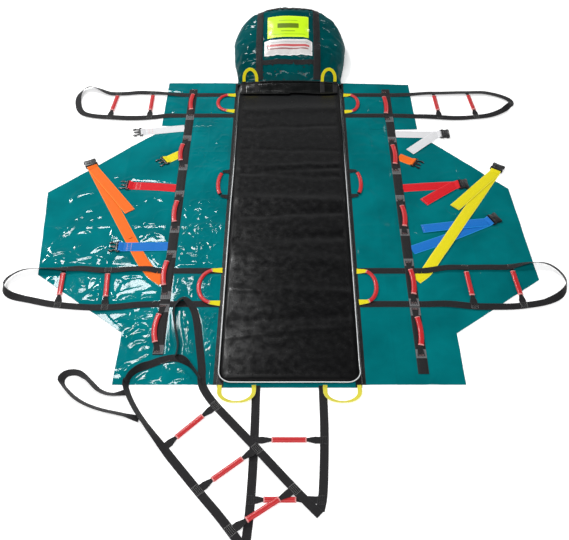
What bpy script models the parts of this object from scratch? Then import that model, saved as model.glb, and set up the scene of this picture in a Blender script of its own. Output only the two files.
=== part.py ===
"""Rescue stretcher: a soft evacuation mat laid open on the floor.

Units are metres, +Z is up, +Y runs along the mattress towards the foot pocket and the
origin is the middle of the mattress on the floor, under the base sheet.
"Left" is -X and "right" is +X. A strip that rests on another keeps 0.3 mm to it.
"""
import math

import bpy
import bmesh
from mathutils import Vector

GAP = 0.0003                 # clearance between pieces that rest on each other
SHEET_T = 0.0015             # coated sheet
WEB_T = 0.0020               # black load webbing
BELT_T = 0.0015              # coloured patient webbing

# mattress
PAD_HALF_W = 0.2565
PAD_HALF_L = 0.997
PAD_TOP = 0.0220
PAD_WALL = 0.0012
PAD_CORNER = 0.045
PIPING_R = 0.0025

# sheets
FOLD_X = 0.2685              # inner edge of each wing
FOLD_HINGE_X = 0.268
FOLD_HINGE_Z = 0.012
SHEET_NEAR_Y = -1.000
CENTRE_NEAR_Y = -1.012       # the centre sheet shows a little past the mattress
FLAP_Y = 0.800

# outer outline of each wing, walked from the flap's far corner to the near corner
WING_LEFT = [(-0.620, FLAP_Y), (-0.621, 0.458), (-0.508, 0.452), (-0.507, 0.413),
             (-0.630, 0.412), (-1.078, -0.008), (-1.020, -0.484), (-0.639, -0.772),
             (-0.641, SHEET_NEAR_Y)]
WING_RIGHT = [(0.611, FLAP_Y - 0.015), (0.618, 0.430), (0.507, 0.430), (0.507, 0.392),
              (0.632, 0.380), (0.982, 0.015), (1.006, -0.512), (0.636, -0.775),
              (0.638, SHEET_NEAR_Y)]

# long webbing straps on the wings
CARRY_X = 0.490
CARRY_W = 0.040
CARRY_FAR_Y = 0.745
CARRY_NEAR_Y = {"left": -0.872, "right": -0.955}
RAIL_W = 0.030
LADDER_FOLD_X = 0.537        # fold line where a ladder or a short belt lifts off the wing
BELT_ROOT_X = CARRY_X + CARRY_W / 2 + 0.0015
BELT_W = 0.050
RAIL_LEVEL = SHEET_T + GAP                    # underside of webbing on the sheet
OVER_BELT = RAIL_LEVEL + BELT_T + GAP         # underside of webbing over one belt
OVER_TAIL = RAIL_LEVEL + 2 * BELT_T + 2 * GAP  # underside of a belt over a belt and its tail
HANDLE_LEVEL = RAIL_LEVEL + WEB_T + GAP       # underside of grips on the webbing

# red grips sewn along the carry straps: far end, near end, hinge line and outward bow
CARRY_GRIPS = {
    "left": [(0.710, 0.565, 0.4750, 0.010), (0.325, 0.190, 0.4915, 0.010),
             (-0.055, -0.205, 0.4820, 0.010), (-0.405, -0.555, 0.4900, 0.010),
             (-0.675, -0.830, 0.4900, 0.015)],
    "right": [(0.690, 0.535, 0.4630, 0.010), (0.320, 0.165, 0.4740, 0.010),
              (-0.085, -0.230, 0.4790, 0.010), (-0.450, -0.600, 0.4780, 0.010),
              (-0.690, -0.845, 0.4790, 0.010)],
}
GRIP_W = 0.020
GRIP_T = 0.007

# loops at the mattress edge: far end, near end, reach outwards
SIDE_LOOPS = {
    "left": [(0.705, 0.560, 0.087), (0.135, -0.045, 0.050), (-0.455, -0.640, 0.091)],
    "right": [(0.705, 0.555, 0.071), (0.140, -0.040, 0.050), (-0.460, -0.635, 0.075)],
}
SIDE_LOOP_W = 0.018
SIDE_LOOP_T = 0.006
SIDE_LOOP_HINGE_X = 0.2805

# foot pocket: distance along Y, half width and height of each hoop of the pouch
POCKET_MOUTH_Y = 0.746
POCKET_WALL = 0.0018
POCKET_ROUND = 2.35          # 2 is an ellipse, more is squarer
POCKET_SKIRT = 0.0255        # height of the upright edge that clears the mattress and piping
POCKET_HOOPS = [(0.746, 0.2660, 0.060), (0.775, 0.2662, 0.092), (0.815, 0.2675, 0.124),
                (0.870, 0.2760, 0.154), (0.935, 0.2860, 0.178), (1.005, 0.2900, 0.199),
                (1.070, 0.2860, 0.217), (1.125, 0.2700, 0.226), (1.165, 0.2450, 0.216),
                (1.195, 0.2150, 0.180), (1.212, 0.1850, 0.120)]
POCKET_STRAP_X = 0.150
POCKET_CROSS_Y = (0.818, 1.150)
POCKET_CROSS_W = 0.024
STRAP_LIFT = 0.0040          # straps and labels over the faceted pouch
CROSS_LIFT = 0.0044
CROSS_T = 0.0012
LABEL_T = 0.0010
LABEL_UPPER = (0.938, 1.069, -0.112, 0.097)   # near and far edge, left and right edge
LABEL_LOWER = (0.842, 0.924, -0.127, 0.115)

# yellow loops at the near corners and at the pocket's mouth
END_LOOP_X = 0.190
END_LOOP_Y = -1.0135
END_LOOP_Z = 0.0042           # over the drag ladder's webbing
END_LOOP_SPAN = 0.140
END_LOOP_REACH = 0.070
END_LOOP_W = 0.018
POCKET_LOOP_X = 0.198
POCKET_LOOP_Y = 0.7410
POCKET_LOOP_Z = 0.051
POCKET_LOOP_LEAN = math.radians(60)
POCKET_LOOP_SPAN = 0.080
POCKET_LOOP_REACH = 0.072
POCKET_LOOP_W = 0.016

# webbing from the mattress to the ladders: far and near rail of each pair
UPPER_RAILS = (0.700, 0.535)
LOWER_RAILS = (-0.465, -0.635)
STUB_X = 0.2725              # where the rails start beside the mattress
STUB_LIFT = 0.0001           # the stubs are a little thinner than the strap they cross
STUB_T = 0.0018

# side ladders: route of the rail from the fold line, round the end loop and back
LADDER_ROUTES = {
    "left_upper": [(-0.537, 0.700, 0), (-0.590, 0.704, 0), (-0.690, 0.714, 1), (-0.760, 0.716, 1),
                   (-0.830, 0.708, 1), (-0.910, 0.708, 1), (-0.975, 0.740, 1), (-1.022, 0.752, 1),
                   (-1.055, 0.712, 1), (-1.063, 0.655, 1), (-1.040, 0.575, 1), (-0.990, 0.535, 1),
                   (-0.880, 0.517, 1), (-0.770, 0.510, 1), (-0.680, 0.517, 1), (-0.600, 0.533, 0),
                   (-0.537, 0.535, 0)],
    "right_upper": [(0.537, 0.700, 0), (0.610, 0.702, 0), (0.700, 0.708, 1), (0.830, 0.712, 1),
                    (0.920, 0.714, 1), (0.995, 0.712, 1), (1.060, 0.690, 1), (1.108, 0.650, 1),
                    (1.100, 0.608, 1), (1.045, 0.562, 1), (0.980, 0.532, 1), (0.890, 0.518, 1),
                    (0.800, 0.512, 1), (0.710, 0.520, 1), (0.620, 0.528, 0), (0.537, 0.535, 0)],
    "left_lower": [(-0.537, -0.465, 0), (-0.575, -0.456, 1), (-0.640, -0.458, 1),
                   (-0.760, -0.464, 1), (-0.850, -0.455, 1), (-0.930, -0.462, 1),
                   (-1.020, -0.462, 1), (-1.085, -0.474, 1), (-1.128, -0.512, 1),
                   (-1.137, -0.560, 1), (-1.105, -0.595, 1), (-1.030, -0.615, 1),
                   (-0.920, -0.640, 1), (-0.800, -0.652, 1), (-0.700, -0.652, 1),
                   (-0.600, -0.640, 1), (-0.537, -0.635, 0)],
    "right_lower": [(0.537, -0.465, 0), (0.575, -0.462, 1), (0.640, -0.450, 1), (0.720, -0.450, 1),
                    (0.800, -0.448, 1), (0.890, -0.448, 1), (0.985, -0.432, 1), (1.050, -0.438, 1),
                    (1.092, -0.482, 1), (1.105, -0.540, 1), (1.075, -0.592, 1), (1.010, -0.625, 1),
                    (0.910, -0.645, 1), (0.820, -0.650, 1), (0.720, -0.648, 1), (0.620, -0.635, 1),
                    (0.537, -0.635, 0)],
}
# rungs: plan positions of their two sewn ends, far rail first
LADDER_RUNGS = {
    "left_upper": [((-0.692, 0.712), (-0.690, 0.520)), ((-0.868, 0.708), (-0.885, 0.520))],
    "right_upper": [((0.730, 0.708), (0.738, 0.520)), ((0.902, 0.712), (0.920, 0.524))],
    "left_lower": [((-0.738, -0.462), (-0.722, -0.652)), ((-0.918, -0.460), (-0.908, -0.642))],
    "right_lower": [((0.716, -0.450), (0.724, -0.648)), ((0.904, -0.446), (0.918, -0.645))],
}
RUNG_GRIP_W = 0.022
RUNG_GRIP_T = 0.0085
RUNG_WEB_W = 0.024
RUNG_WEB_T = 0.0014
RUNG_LIFT = 0.0003           # rungs start a little above the underside of their rails

# drag ladder
FLOOR = 0.0002               # underside of webbing that lies on the floor
OVER_RUNG = 0.0092           # underside of webbing that crosses a grip
DRAG_BASE_LEFT = [(-0.120, -1.0135, FLOOR), (-0.121, -1.250, FLOOR), (-0.127, -1.450, FLOOR),
                  (-0.137, -1.580, FLOOR)]
DRAG_BASE_RIGHT = [(0.120, -1.0135, FLOOR), (0.120, -1.200, FLOOR), (0.110, -1.400, FLOOR),
                   (0.098, -1.455, FLOOR)]
DRAG_FOLD_RIGHT = [(0.086, -1.470, OVER_RUNG), (0.000, -1.380, OVER_RUNG),
                   (-0.120, -1.245, OVER_RUNG), (-0.200, -1.155, 0.0040),
                   (-0.270, -1.075, FLOOR + 0.0016), (-0.311, -1.0120, FLOOR + 0.0016)]
DRAG_FOLD_LEFT = [(-0.155, -1.572, OVER_RUNG), (-0.220, -1.492, 0.0060),
                  (-0.300, -1.400, FLOOR + 0.0016), (-0.420, -1.260, FLOOR + 0.0016),
                  (-0.510, -1.150, FLOOR + 0.0016), (-0.560, -1.075, FLOOR + 0.0016),
                  (-0.589, -1.0120, FLOOR + 0.0016)]
DRAG_LOOP = [(-0.580, -1.030, FLOOR), (-0.630, -1.045, FLOOR), (-0.680, -1.030, FLOOR),
             (-0.728, -0.985, FLOOR), (-0.775, -0.950, FLOOR), (-0.815, -0.955, FLOOR),
             (-0.825, -0.990, FLOOR), (-0.785, -1.040, FLOOR), (-0.735, -1.078, FLOOR),
             (-0.670, -1.105, FLOOR), (-0.600, -1.122, FLOOR), (-0.525, -1.140, FLOOR)]
WING_CROSS = [(-0.590, -0.9955, 0), (-0.578, -0.965, 0), (-0.550, -0.936, 0), (-0.505, -0.912, 0),
              (-0.460, -0.893, 0), (-0.415, -0.888, 0), (-0.375, -0.912, 0), (-0.340, -0.955, 0),
              (-0.317, -0.9930, 0)]
WING_LOOP = [(-0.318, -0.980, 0), (-0.322, -0.930, 0), (-0.338, -0.830, 0), (-0.358, -0.715, 1),
             (-0.380, -0.652, 1), (-0.418, -0.612, 1), (-0.448, -0.662, 1), (-0.436, -0.750, 0),
             (-0.418, -0.830, 0), (-0.420, -0.890, 0)]
# rungs of the base part: plan ends, then where the grip sleeve starts and stops
DRAG_BASE_RUNGS = [((-0.121, -1.220), (0.118, -1.220), 0.25, 0.75),
                   ((-0.128, -1.432), (0.102, -1.432), 0.19, 0.65)]
# rungs of the folded part, whose two rails lie at different heights
DRAG_FOLD_RUNGS = [((-0.262, -1.088, 0.0022), (-0.428, -1.250, 0.0022)),
                   ((-0.110, -1.255, 0.0095), (-0.300, -1.400, 0.0025)),
                   ((0.018, -1.398, 0.0095), (-0.186, -1.535, 0.0085))]
WING_LOOP_W = 0.028
WING_LOOP_T = 0.0018

# patient belts and buckles
# run of each belt from its root to its buckle, and the end of its folded-back tail
BELTS = {
    "left_white": ("white", [(-BELT_ROOT_X, 0.438), (-0.610, 0.424), (-0.708, 0.408)], None),
    "left_yellow": ("yellow", [(-LADDER_FOLD_X, 0.233), (-0.572, 0.207)], None),
    "left_red": ("red", [(-BELT_ROOT_X, 0.020), (-0.610, 0.030), (-0.718, 0.036)], None),
    "left_blue": ("blue", [(-BELT_ROOT_X, -0.330), (-0.610, -0.334), (-0.708, -0.336)], None),
    "left_orange": ("orange", [(-0.674, -0.285), (-0.760, -0.123), (-0.908, 0.158)],
                    (-0.696, -0.128)),
    "right_white": ("white", [(BELT_ROOT_X, 0.394), (0.620, 0.391), (0.722, 0.391)],
                    (0.566, 0.264)),
    "right_orange": ("orange", [(LADDER_FOLD_X, 0.214), (0.572, 0.192)], None),
    "right_red": ("red", [(BELT_ROOT_X, 0.020), (0.640, 0.032), (0.758, 0.040)], (0.592, -0.072)),
    "right_yellow": ("yellow", [(0.597, -0.409), (0.620, -0.373), (0.655, -0.320),
                                (0.755, -0.164), (0.810, -0.078), (0.944, 0.130)],
                     (0.722, -0.108)),
    "right_blue": ("blue", [(BELT_ROOT_X, -0.352), (0.650, -0.292), (0.740, -0.248),
                            (0.862, -0.186)], (0.566, -0.232)),
}
# heights of the belts that cross others: undersides at the points of the run
BELT_LEVELS = {
    "left_blue": [RAIL_LEVEL, OVER_BELT, OVER_BELT],
    "right_yellow": [RAIL_LEVEL, OVER_TAIL + 0.0010, OVER_TAIL + 0.0010, OVER_TAIL + 0.0010,
                     RAIL_LEVEL, RAIL_LEVEL],
}
# belts that fold square to their own run, clear of what lies over their roots
FREE_FOLDED = ("left_orange", "right_yellow")
TAIL_SETBACK = 0.022         # keeps the slanting tail clear of the buckle
BUCKLE_L = 0.046
BUCKLE_W = 0.058
BUCKLE_T = 0.010
BUCKLE_MALE_T = 0.007
BUCKLE_SLOT = (0.004, 0.010, 0.026)           # start, end and half width of the webbing slot

# colours
TEAL = (0.000, 0.160, 0.165)
BLACK = (0.016, 0.016, 0.018)
PVC_BLACK = (0.010, 0.010, 0.011)
RED = (0.720, 0.030, 0.035)
YELLOW = (0.830, 0.730, 0.010)
ORANGE = (0.900, 0.180, 0.010)
BLUE = (0.010, 0.180, 0.780)
WHITE = (0.760, 0.760, 0.760)
LIME = (0.560, 0.880, 0.020)
FOAM = (0.350, 0.340, 0.300)


def clear_scene():
    for item in list(bpy.data.objects):
        bpy.data.objects.remove(item)


def material(name, color, roughness):
    mat = bpy.data.materials.new(name)
    mat.use_nodes = True
    shader = mat.node_tree.nodes["Principled BSDF"]
    shader.inputs["Base Color"].default_value = (*color, 1.0)
    shader.inputs["Roughness"].default_value = roughness
    shader.inputs["Metallic"].default_value = 0.0
    return mat


def place(name, mesh, mat, origin=(0.0, 0.0, 0.0), smooth=True):
    """Add a mesh built in world space, with the object's origin moved to `origin`."""
    for vertex in mesh.vertices:
        vertex.co -= Vector(origin)
    mesh.materials.clear()
    mesh.materials.append(mat)
    if smooth:
        mesh.shade_smooth()
        mesh.set_sharp_from_angle(angle=math.radians(35))
    obj = bpy.data.objects.new(name, mesh)
    obj.location = origin
    bpy.context.scene.collection.objects.link(obj)
    return obj


def to_mesh(bm, name):
    bmesh.ops.recalc_face_normals(bm, faces=bm.faces)
    mesh = bpy.data.meshes.new(name)
    bm.to_mesh(mesh)
    bm.free()
    return mesh


def catmull(points, per_span=4, closed=False):
    """A smooth curve through the points, with `per_span` steps between neighbours."""
    pts = [Vector(p) for p in points]
    count = len(pts)
    spans = count if closed else count - 1
    out = []
    for i in range(spans):
        p1 = pts[i]
        p2 = pts[(i + 1) % count]
        p0 = pts[i - 1] if (i or closed) else p1 * 2 - p2
        last = i + 2 >= count and not closed
        p3 = p2 * 2 - p1 if last else pts[(i + 2) % count]
        for step in range(per_span):
            t = step / per_span
            a = p1 * 2
            b = (p2 - p0) * t
            c = (p0 * 2 - p1 * 5 + p2 * 4 - p3) * t * t
            d = (p1 * 3 - p0 - p2 * 3 + p3) * t * t * t
            out.append((a + b + c + d) * 0.5)
    if not closed:
        out.append(pts[-1])
    return out


def flat(width, height):
    """Rectangular strip section, standing on its path."""
    half = width / 2
    return [(-half, 0.0), (half, 0.0), (half, height), (-half, height)]


def oval(width, height):
    """Eight-sided round-shouldered section, standing on its path."""
    half = width / 2
    return [(-half * 0.72, 0.0), (half * 0.72, 0.0), (half, height * 0.30),
            (half, height * 0.70), (half * 0.72, height), (-half * 0.72, height),
            (-half, height * 0.70), (-half, height * 0.30)]


def sweep(path, sections, cut_ends=()):
    """Sweep sections along a path: u runs across the path in plan, v runs upwards.

    The ends named in `cut_ends`, 0 or -1, are cut parallel to Y, not square to the path.
    """
    bm = bmesh.new()
    rings = []
    count = len(path)
    for i, point in enumerate(path):
        ahead = path[min(i + 1, count - 1)] - point
        behind = point - path[max(i - 1, 0)]
        ahead.z = 0.0
        behind.z = 0.0
        if ahead.length < 1e-9:
            ahead = behind.copy()
        if behind.length < 1e-9:
            behind = ahead.copy()
        ahead.normalize()
        behind.normalize()
        tangent = (ahead + behind).normalized()
        mitre = 1.0 / max(tangent.dot(ahead), 0.7)
        across = Vector((tangent.y, -tangent.x, 0.0)) * mitre
        if i in cut_ends or i - count in cut_ends:
            across = Vector((0.0, -1.0 / tangent.x, 0.0))
        ring = [bm.verts.new(point + across * u + Vector((0.0, 0.0, v)))
                for u, v in sections[i]]
        rings.append(ring)
    sides = len(rings[0])
    for first, second in zip(rings, rings[1:]):
        for k in range(sides):
            nxt = (k + 1) % sides
            bm.faces.new((first[k], first[nxt], second[nxt], second[k]))
    bm.faces.new(rings[0])
    bm.faces.new(rings[-1])
    return bm


def strip(path, width, thickness, cut_ends=()):
    """A flat webbing strip lying along its path."""
    return to_mesh(sweep(path, [flat(width, thickness)] * len(path), cut_ends), "strip")


def union(meshes, name):
    """Join overlapping closed meshes into one body."""
    base = bpy.data.objects.new(name, meshes[0])
    bpy.context.scene.collection.objects.link(base)
    for other in meshes[1:]:
        tool = bpy.data.objects.new(name + "_tool", other)
        bpy.context.scene.collection.objects.link(tool)
        modifier = base.modifiers.new("join", "BOOLEAN")
        modifier.operation = "UNION"
        modifier.object = tool
        depsgraph = bpy.context.evaluated_depsgraph_get()
        joined = bpy.data.meshes.new_from_object(base.evaluated_get(depsgraph))
        base.modifiers.clear()
        base.data = joined
        bpy.data.objects.remove(tool)
    mesh = base.data
    bpy.data.objects.remove(base)
    return mesh


def slab(outline, z0, z1, name):
    """Extrude a plan outline between two heights."""
    bm = bmesh.new()
    low = [bm.verts.new((x, y, z0)) for x, y in outline]
    base = bm.faces.new(low)
    grown = bmesh.ops.extrude_face_region(bm, geom=[base])
    raised = [v for v in grown["geom"] if isinstance(v, bmesh.types.BMVert)]
    bmesh.ops.translate(bm, verts=raised, vec=(0.0, 0.0, z1 - z0))
    return to_mesh(bm, name)


def rounded_rectangle(half_w, half_l, radius, steps=5):
    """Plan outline of the mattress, walked anticlockwise."""
    outline = []
    for sx, sy, start in ((1, 1, 0), (-1, 1, 90), (-1, -1, 180), (1, -1, 270)):
        for i in range(steps + 1):
            angle = math.radians(start + 90 * i / steps)
            outline.append((sx * (half_w - radius) + radius * math.cos(angle),
                            sy * (half_l - radius) + radius * math.sin(angle)))
    return outline


# ---------------------------------------------------------------- base sheets

def pocket_size(y):
    """Half width and height of the pouch at a distance along Y."""
    for (y0, a0, h0), (y1, a1, h1) in zip(POCKET_HOOPS, POCKET_HOOPS[1:]):
        if y <= y1:
            t = (y - y0) / (y1 - y0)
            return a0 + (a1 - a0) * t, h0 + (h1 - h0) * t
    return POCKET_HOOPS[-1][1:]


def pocket_height(x, y):
    """Height of the pouch's outside above the floor."""
    half, height = pocket_size(y)
    share = max(1.0 - (abs(x) / half) ** POCKET_ROUND, 0.0)
    return POCKET_SKIRT + (height - POCKET_SKIRT) * share ** (1 / POCKET_ROUND)


def build_sheets(teal):
    # centre sheet: as wide as the gap between the wings, following the pouch at the far end
    far = [(half, y) for y, half, _ in POCKET_HOOPS if y > FLAP_Y + 0.01]
    outline = [(0.268, CENTRE_NEAR_Y), (0.268, FLAP_Y + 0.01)] + far
    outline += [(-x, y) for x, y in reversed(outline)]
    place("centre_sheet", slab(outline, 0.0, SHEET_T, "centre_sheet"), teal, smooth=False)
    for side, sign, outer in (("left", -1, WING_LEFT), ("right", 1, WING_RIGHT)):
        inner = [(sign * FOLD_X, SHEET_NEAR_Y), (sign * FOLD_X, FLAP_Y)]
        mesh = slab(outer + inner, 0.0, SHEET_T, side + "_wing")
        place(side + "_wing_sheet", mesh, teal,
              (sign * FOLD_HINGE_X, 0.0, FOLD_HINGE_Z), smooth=False)


def build_mattress(pvc, foam, piping):
    low = SHEET_T + GAP
    outer = rounded_rectangle(PAD_HALF_W, PAD_HALF_L, PAD_CORNER)
    inner = rounded_rectangle(PAD_HALF_W - PAD_WALL, PAD_HALF_L - PAD_WALL,
                              PAD_CORNER - PAD_WALL)
    # cover: a tray turned over the foam, open underneath
    bm = bmesh.new()
    rings = []
    for outline, z in ((outer, low), (outer, PAD_TOP), (inner, PAD_TOP - PAD_WALL), (inner, low)):
        rings.append([bm.verts.new((x, y, z)) for x, y in outline])
    count = len(outer)
    for k in range(count):
        nxt = (k + 1) % count
        bm.faces.new((rings[0][k], rings[0][nxt], rings[1][nxt], rings[1][k]))
        bm.faces.new((rings[2][k], rings[2][nxt], rings[3][nxt], rings[3][k]))
        bm.faces.new((rings[3][k], rings[3][nxt], rings[0][nxt], rings[0][k]))
    bm.faces.new(rings[1])
    bm.faces.new(rings[2])
    place("mattress_cover", to_mesh(bm, "mattress_cover"), pvc)
    inset = PAD_WALL + GAP
    core = rounded_rectangle(PAD_HALF_W - inset, PAD_HALF_L - inset, PAD_CORNER - inset)
    place("mattress_foam", slab(core, low, PAD_TOP - inset, "mattress_foam"), foam)
    # piping: a cord round the cover's upper edge
    reach = 2 * GAP + PIPING_R
    route = rounded_rectangle(PAD_HALF_W + reach, PAD_HALF_L + reach, PAD_CORNER + reach)
    bm = bmesh.new()
    rings = []
    for i, (x, y) in enumerate(route):
        before = Vector(route[i - 1])
        after = Vector(route[(i + 1) % len(route)])
        tangent = (after - before).normalized()
        ring = []
        for k in range(6):
            angle = math.tau * k / 6
            out = PIPING_R * math.cos(angle)
            up = PIPING_R * math.sin(angle)
            ring.append(bm.verts.new((x + tangent.y * out, y - tangent.x * out,
                                      PAD_TOP - PIPING_R + up)))
        rings.append(ring)
    for i, ring in enumerate(rings):
        following = rings[(i + 1) % len(rings)]
        for k in range(6):
            nxt = (k + 1) % 6
            bm.faces.new((ring[k], ring[nxt], following[nxt], following[k]))
    place("mattress_piping", to_mesh(bm, "mattress_piping"), piping)


# ---------------------------------------------------------------- foot pocket

def hoop(y, half, height, wall, steps=14):
    """One arched section of the pouch, from floor to floor, shrunk by `wall`."""
    a = half - wall
    h = height - POCKET_SKIRT - wall
    power = 2 / POCKET_ROUND
    points = [(a, y, RAIL_LEVEL)]
    for i in range(steps + 1):
        angle = math.pi * i / steps
        c = math.cos(angle)
        s = max(math.sin(angle), 0.0)
        x = a * math.copysign(abs(c) ** power, c)
        points.append((x, y, POCKET_SKIRT + h * s ** power))
    points.append((-a, y, RAIL_LEVEL))
    return points


def build_pocket(teal, black, lime, white):
    outer = [hoop(y, a, h, 0.0) for y, a, h in POCKET_HOOPS]
    inner = [hoop(y, a, h, POCKET_WALL) for y, a, h in POCKET_HOOPS[:-1]]
    y_end, a_end, h_end = POCKET_HOOPS[-1]
    inner.append(hoop(y_end - POCKET_WALL, a_end, h_end, POCKET_WALL))
    bm = bmesh.new()
    skins = []
    for skin in (outer, inner):
        skins.append([[bm.verts.new(p) for p in row] for row in skin])
    for rows in skins:
        for first, second in zip(rows, rows[1:]):
            for k in range(len(first) - 1):
                bm.faces.new((first[k], first[k + 1], second[k + 1], second[k]))
        bm.faces.new(rows[-1])
    out_rows, in_rows = skins
    for k in range(len(out_rows[0]) - 1):       # rim of the mouth
        bm.faces.new((out_rows[0][k], out_rows[0][k + 1], in_rows[0][k + 1], in_rows[0][k]))
    for i in range(len(out_rows) - 1):          # sewn edges along the base sheet
        for k in (0, -1):
            bm.faces.new((out_rows[i][k], out_rows[i + 1][k], in_rows[i + 1][k], in_rows[i][k]))
    bm.faces.new((out_rows[-1][0], out_rows[-1][-1], in_rows[-1][-1], in_rows[-1][0]))
    place("foot_pocket", to_mesh(bm, "foot_pocket"), teal)

    parts = []
    for x in (-POCKET_STRAP_X, POCKET_STRAP_X):  # two webbing straps along the pouch
        stations = [y for y, _, _ in POCKET_HOOPS[:-2]]
        stations[0] += 0.002
        x0 = x - RAIL_W / 2
        x1 = x + RAIL_W / 2
        parts.append(draped(lambda t, x0=x0: (x0, t), lambda t, x1=x1: (x1, t),
                            stations, STRAP_LIFT, WEB_T))
    for y in POCKET_CROSS_Y:                    # two cross straps between them
        stations = [POCKET_STRAP_X * (i / 6 - 1) for i in range(13)]
        y0 = y - POCKET_CROSS_W / 2
        y1 = y + POCKET_CROSS_W / 2
        parts.append(draped(lambda t, y0=y0: (t, y0), lambda t, y1=y1: (t, y1),
                            stations, CROSS_LIFT, CROSS_T))
    place("pocket_harness", union(parts, "pocket_harness"), black)
    for name, (y0, y1, x0, x1), mat in (("label_panel_upper", LABEL_UPPER, lime),
                                        ("label_panel_lower", LABEL_LOWER, white)):
        stations = [x0 + (x1 - x0) * i / 6 for i in range(7)]
        mesh = draped(lambda t, y=y0: (t, y), lambda t, y=y1: (t, y), stations,
                      STRAP_LIFT, LABEL_T, 4)
        place(name, mesh, mat)


def draped(edge_a, edge_b, stations, lift, thickness, across=1):
    """A thin closed band laid over the pouch between two edge lines."""
    bm = bmesh.new()
    layers = []
    for extra in (0.0, thickness):
        rows = []
        for t in stations:
            ax, ay = edge_a(t)
            bx, by = edge_b(t)
            row = []
            for k in range(across + 1):
                x = ax + (bx - ax) * k / across
                y = ay + (by - ay) * k / across
                row.append(bm.verts.new((x, y, pocket_height(x, y) + lift + extra)))
            rows.append(row)
        layers.append(rows)
    low, high = layers
    for rows in layers:
        for first, second in zip(rows, rows[1:]):
            for k in range(across):
                bm.faces.new((first[k], first[k + 1], second[k + 1], second[k]))
    for i in range(len(stations) - 1):
        for k in (0, -1):
            bm.faces.new((low[i][k], low[i + 1][k], high[i + 1][k], high[i][k]))
    for i in (0, -1):
        for k in range(across):
            bm.faces.new((low[i][k], low[i][k + 1], high[i][k + 1], high[i][k]))
    return to_mesh(bm, "band")


# ---------------------------------------------------------------- grips and loops

def arched_path(side_sign, hinge_x, far_y, near_y, reach, width, z, steps=8):
    """Plan arch whose inner edge starts and ends on the hinge line."""
    path = []
    for i in range(steps + 1):
        t = i / steps
        y = far_y + (near_y - far_y) * t
        bow = math.sin(math.pi * t) ** 0.75 if 0.0 < t < 1.0 else 0.0
        x = hinge_x + width / 2 + GAP + (reach - width / 2) * bow
        path.append(Vector((side_sign * x, y, z)))
    return path


def build_grips(red):
    for side, sign in (("left", -1), ("right", 1)):
        for number, (far_y, near_y, hinge_x, bow) in enumerate(CARRY_GRIPS[side], 1):
            path = arched_path(sign, hinge_x, far_y, near_y, bow + GRIP_W / 2, GRIP_W,
                               HANDLE_LEVEL)
            ends = {0: 0.0025, 1: 0.0045, 7: 0.0045, 8: 0.0025}
            sections = [oval(GRIP_W, ends.get(i, GRIP_T)) for i in range(len(path))]
            mesh = to_mesh(sweep(path, sections), "grip")
            middle = (far_y + near_y) / 2
            place(f"carry_handle_{side}_{number}", mesh, red,
                  (sign * hinge_x, middle, HANDLE_LEVEL))
        for number, (far_y, near_y, reach) in enumerate(SIDE_LOOPS[side], 1):
            path = side_loop_path(sign, far_y, near_y, reach)
            last = len(path) - 1
            sections = []
            for i in range(last + 1):
                tab = i < 2 or i > last - 2
                sections.append(oval(SIDE_LOOP_W + 0.004 * tab, 0.003 if tab else SIDE_LOOP_T))
            mesh = to_mesh(sweep(path, sections), "loop")
            place(f"side_handle_{side}_{number}", mesh, red,
                  (sign * SIDE_LOOP_HINGE_X, (far_y + near_y) / 2, HANDLE_LEVEL))


def side_loop_path(sign, far_y, near_y, reach):
    """Two tabs that leave the mattress edge squarely, joined by a round arch."""
    middle = (far_y + near_y) / 2
    half = (far_y - near_y) / 2 - SIDE_LOOP_W / 2
    start = SIDE_LOOP_HINGE_X + GAP
    tab = 0.25 * reach
    path = [Vector((sign * start, middle + half, HANDLE_LEVEL))]
    steps = 10
    for i in range(steps + 1):
        angle = math.radians(90 - 180 * i / steps)
        x = start + tab + (reach - tab - SIDE_LOOP_W / 2) * math.cos(angle)
        path.append(Vector((sign * x, middle + half * math.sin(angle), HANDLE_LEVEL)))
    path.append(Vector((sign * start, middle - half, HANDLE_LEVEL)))
    return path


def build_end_loops(yellow):
    for side, sign in (("left", -1), ("right", 1)):
        centre = sign * END_LOOP_X
        path = loop_arc(END_LOOP_SPAN, END_LOOP_REACH, END_LOOP_W)
        moved = [Vector((p.x + centre, END_LOOP_Y - p.y, END_LOOP_Z)) for p in path]
        mesh = strip(moved, END_LOOP_W, WEB_T)
        place("end_loop_" + side, mesh, yellow, (centre, END_LOOP_Y, END_LOOP_Z))
        # the loop at the pocket's mouth leans back against the pouch
        path = loop_arc(POCKET_LOOP_SPAN, POCKET_LOOP_REACH, POCKET_LOOP_W)
        flat_loop = strip(path, POCKET_LOOP_W, WEB_T)
        hinge = Vector((sign * POCKET_LOOP_X, POCKET_LOOP_Y, POCKET_LOOP_Z))
        c = math.cos(POCKET_LOOP_LEAN)
        s = math.sin(POCKET_LOOP_LEAN)
        for vertex in flat_loop.vertices:
            x, y, z = vertex.co
            vertex.co = hinge + Vector((x, y * c - z * s, y * s + z * c))
        place("pocket_loop_" + side, flat_loop, yellow, hinge)


def loop_arc(span, reach, width, steps=10):
    """Half-round loop in plan, from -span/2 to span/2, standing out along +Y."""
    half = (span - width) / 2
    path = [Vector((-half, 0.0, 0.0))]
    for i in range(steps + 1):
        angle = math.radians(180 - 180 * i / steps)
        path.append(Vector((half * math.cos(angle),
                            0.25 * reach + (0.75 * reach - width / 2) * math.sin(angle), 0.0)))
    path.append(Vector((half, 0.0, 0.0)))
    return path


# ---------------------------------------------------------------- webbing harness

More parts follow.
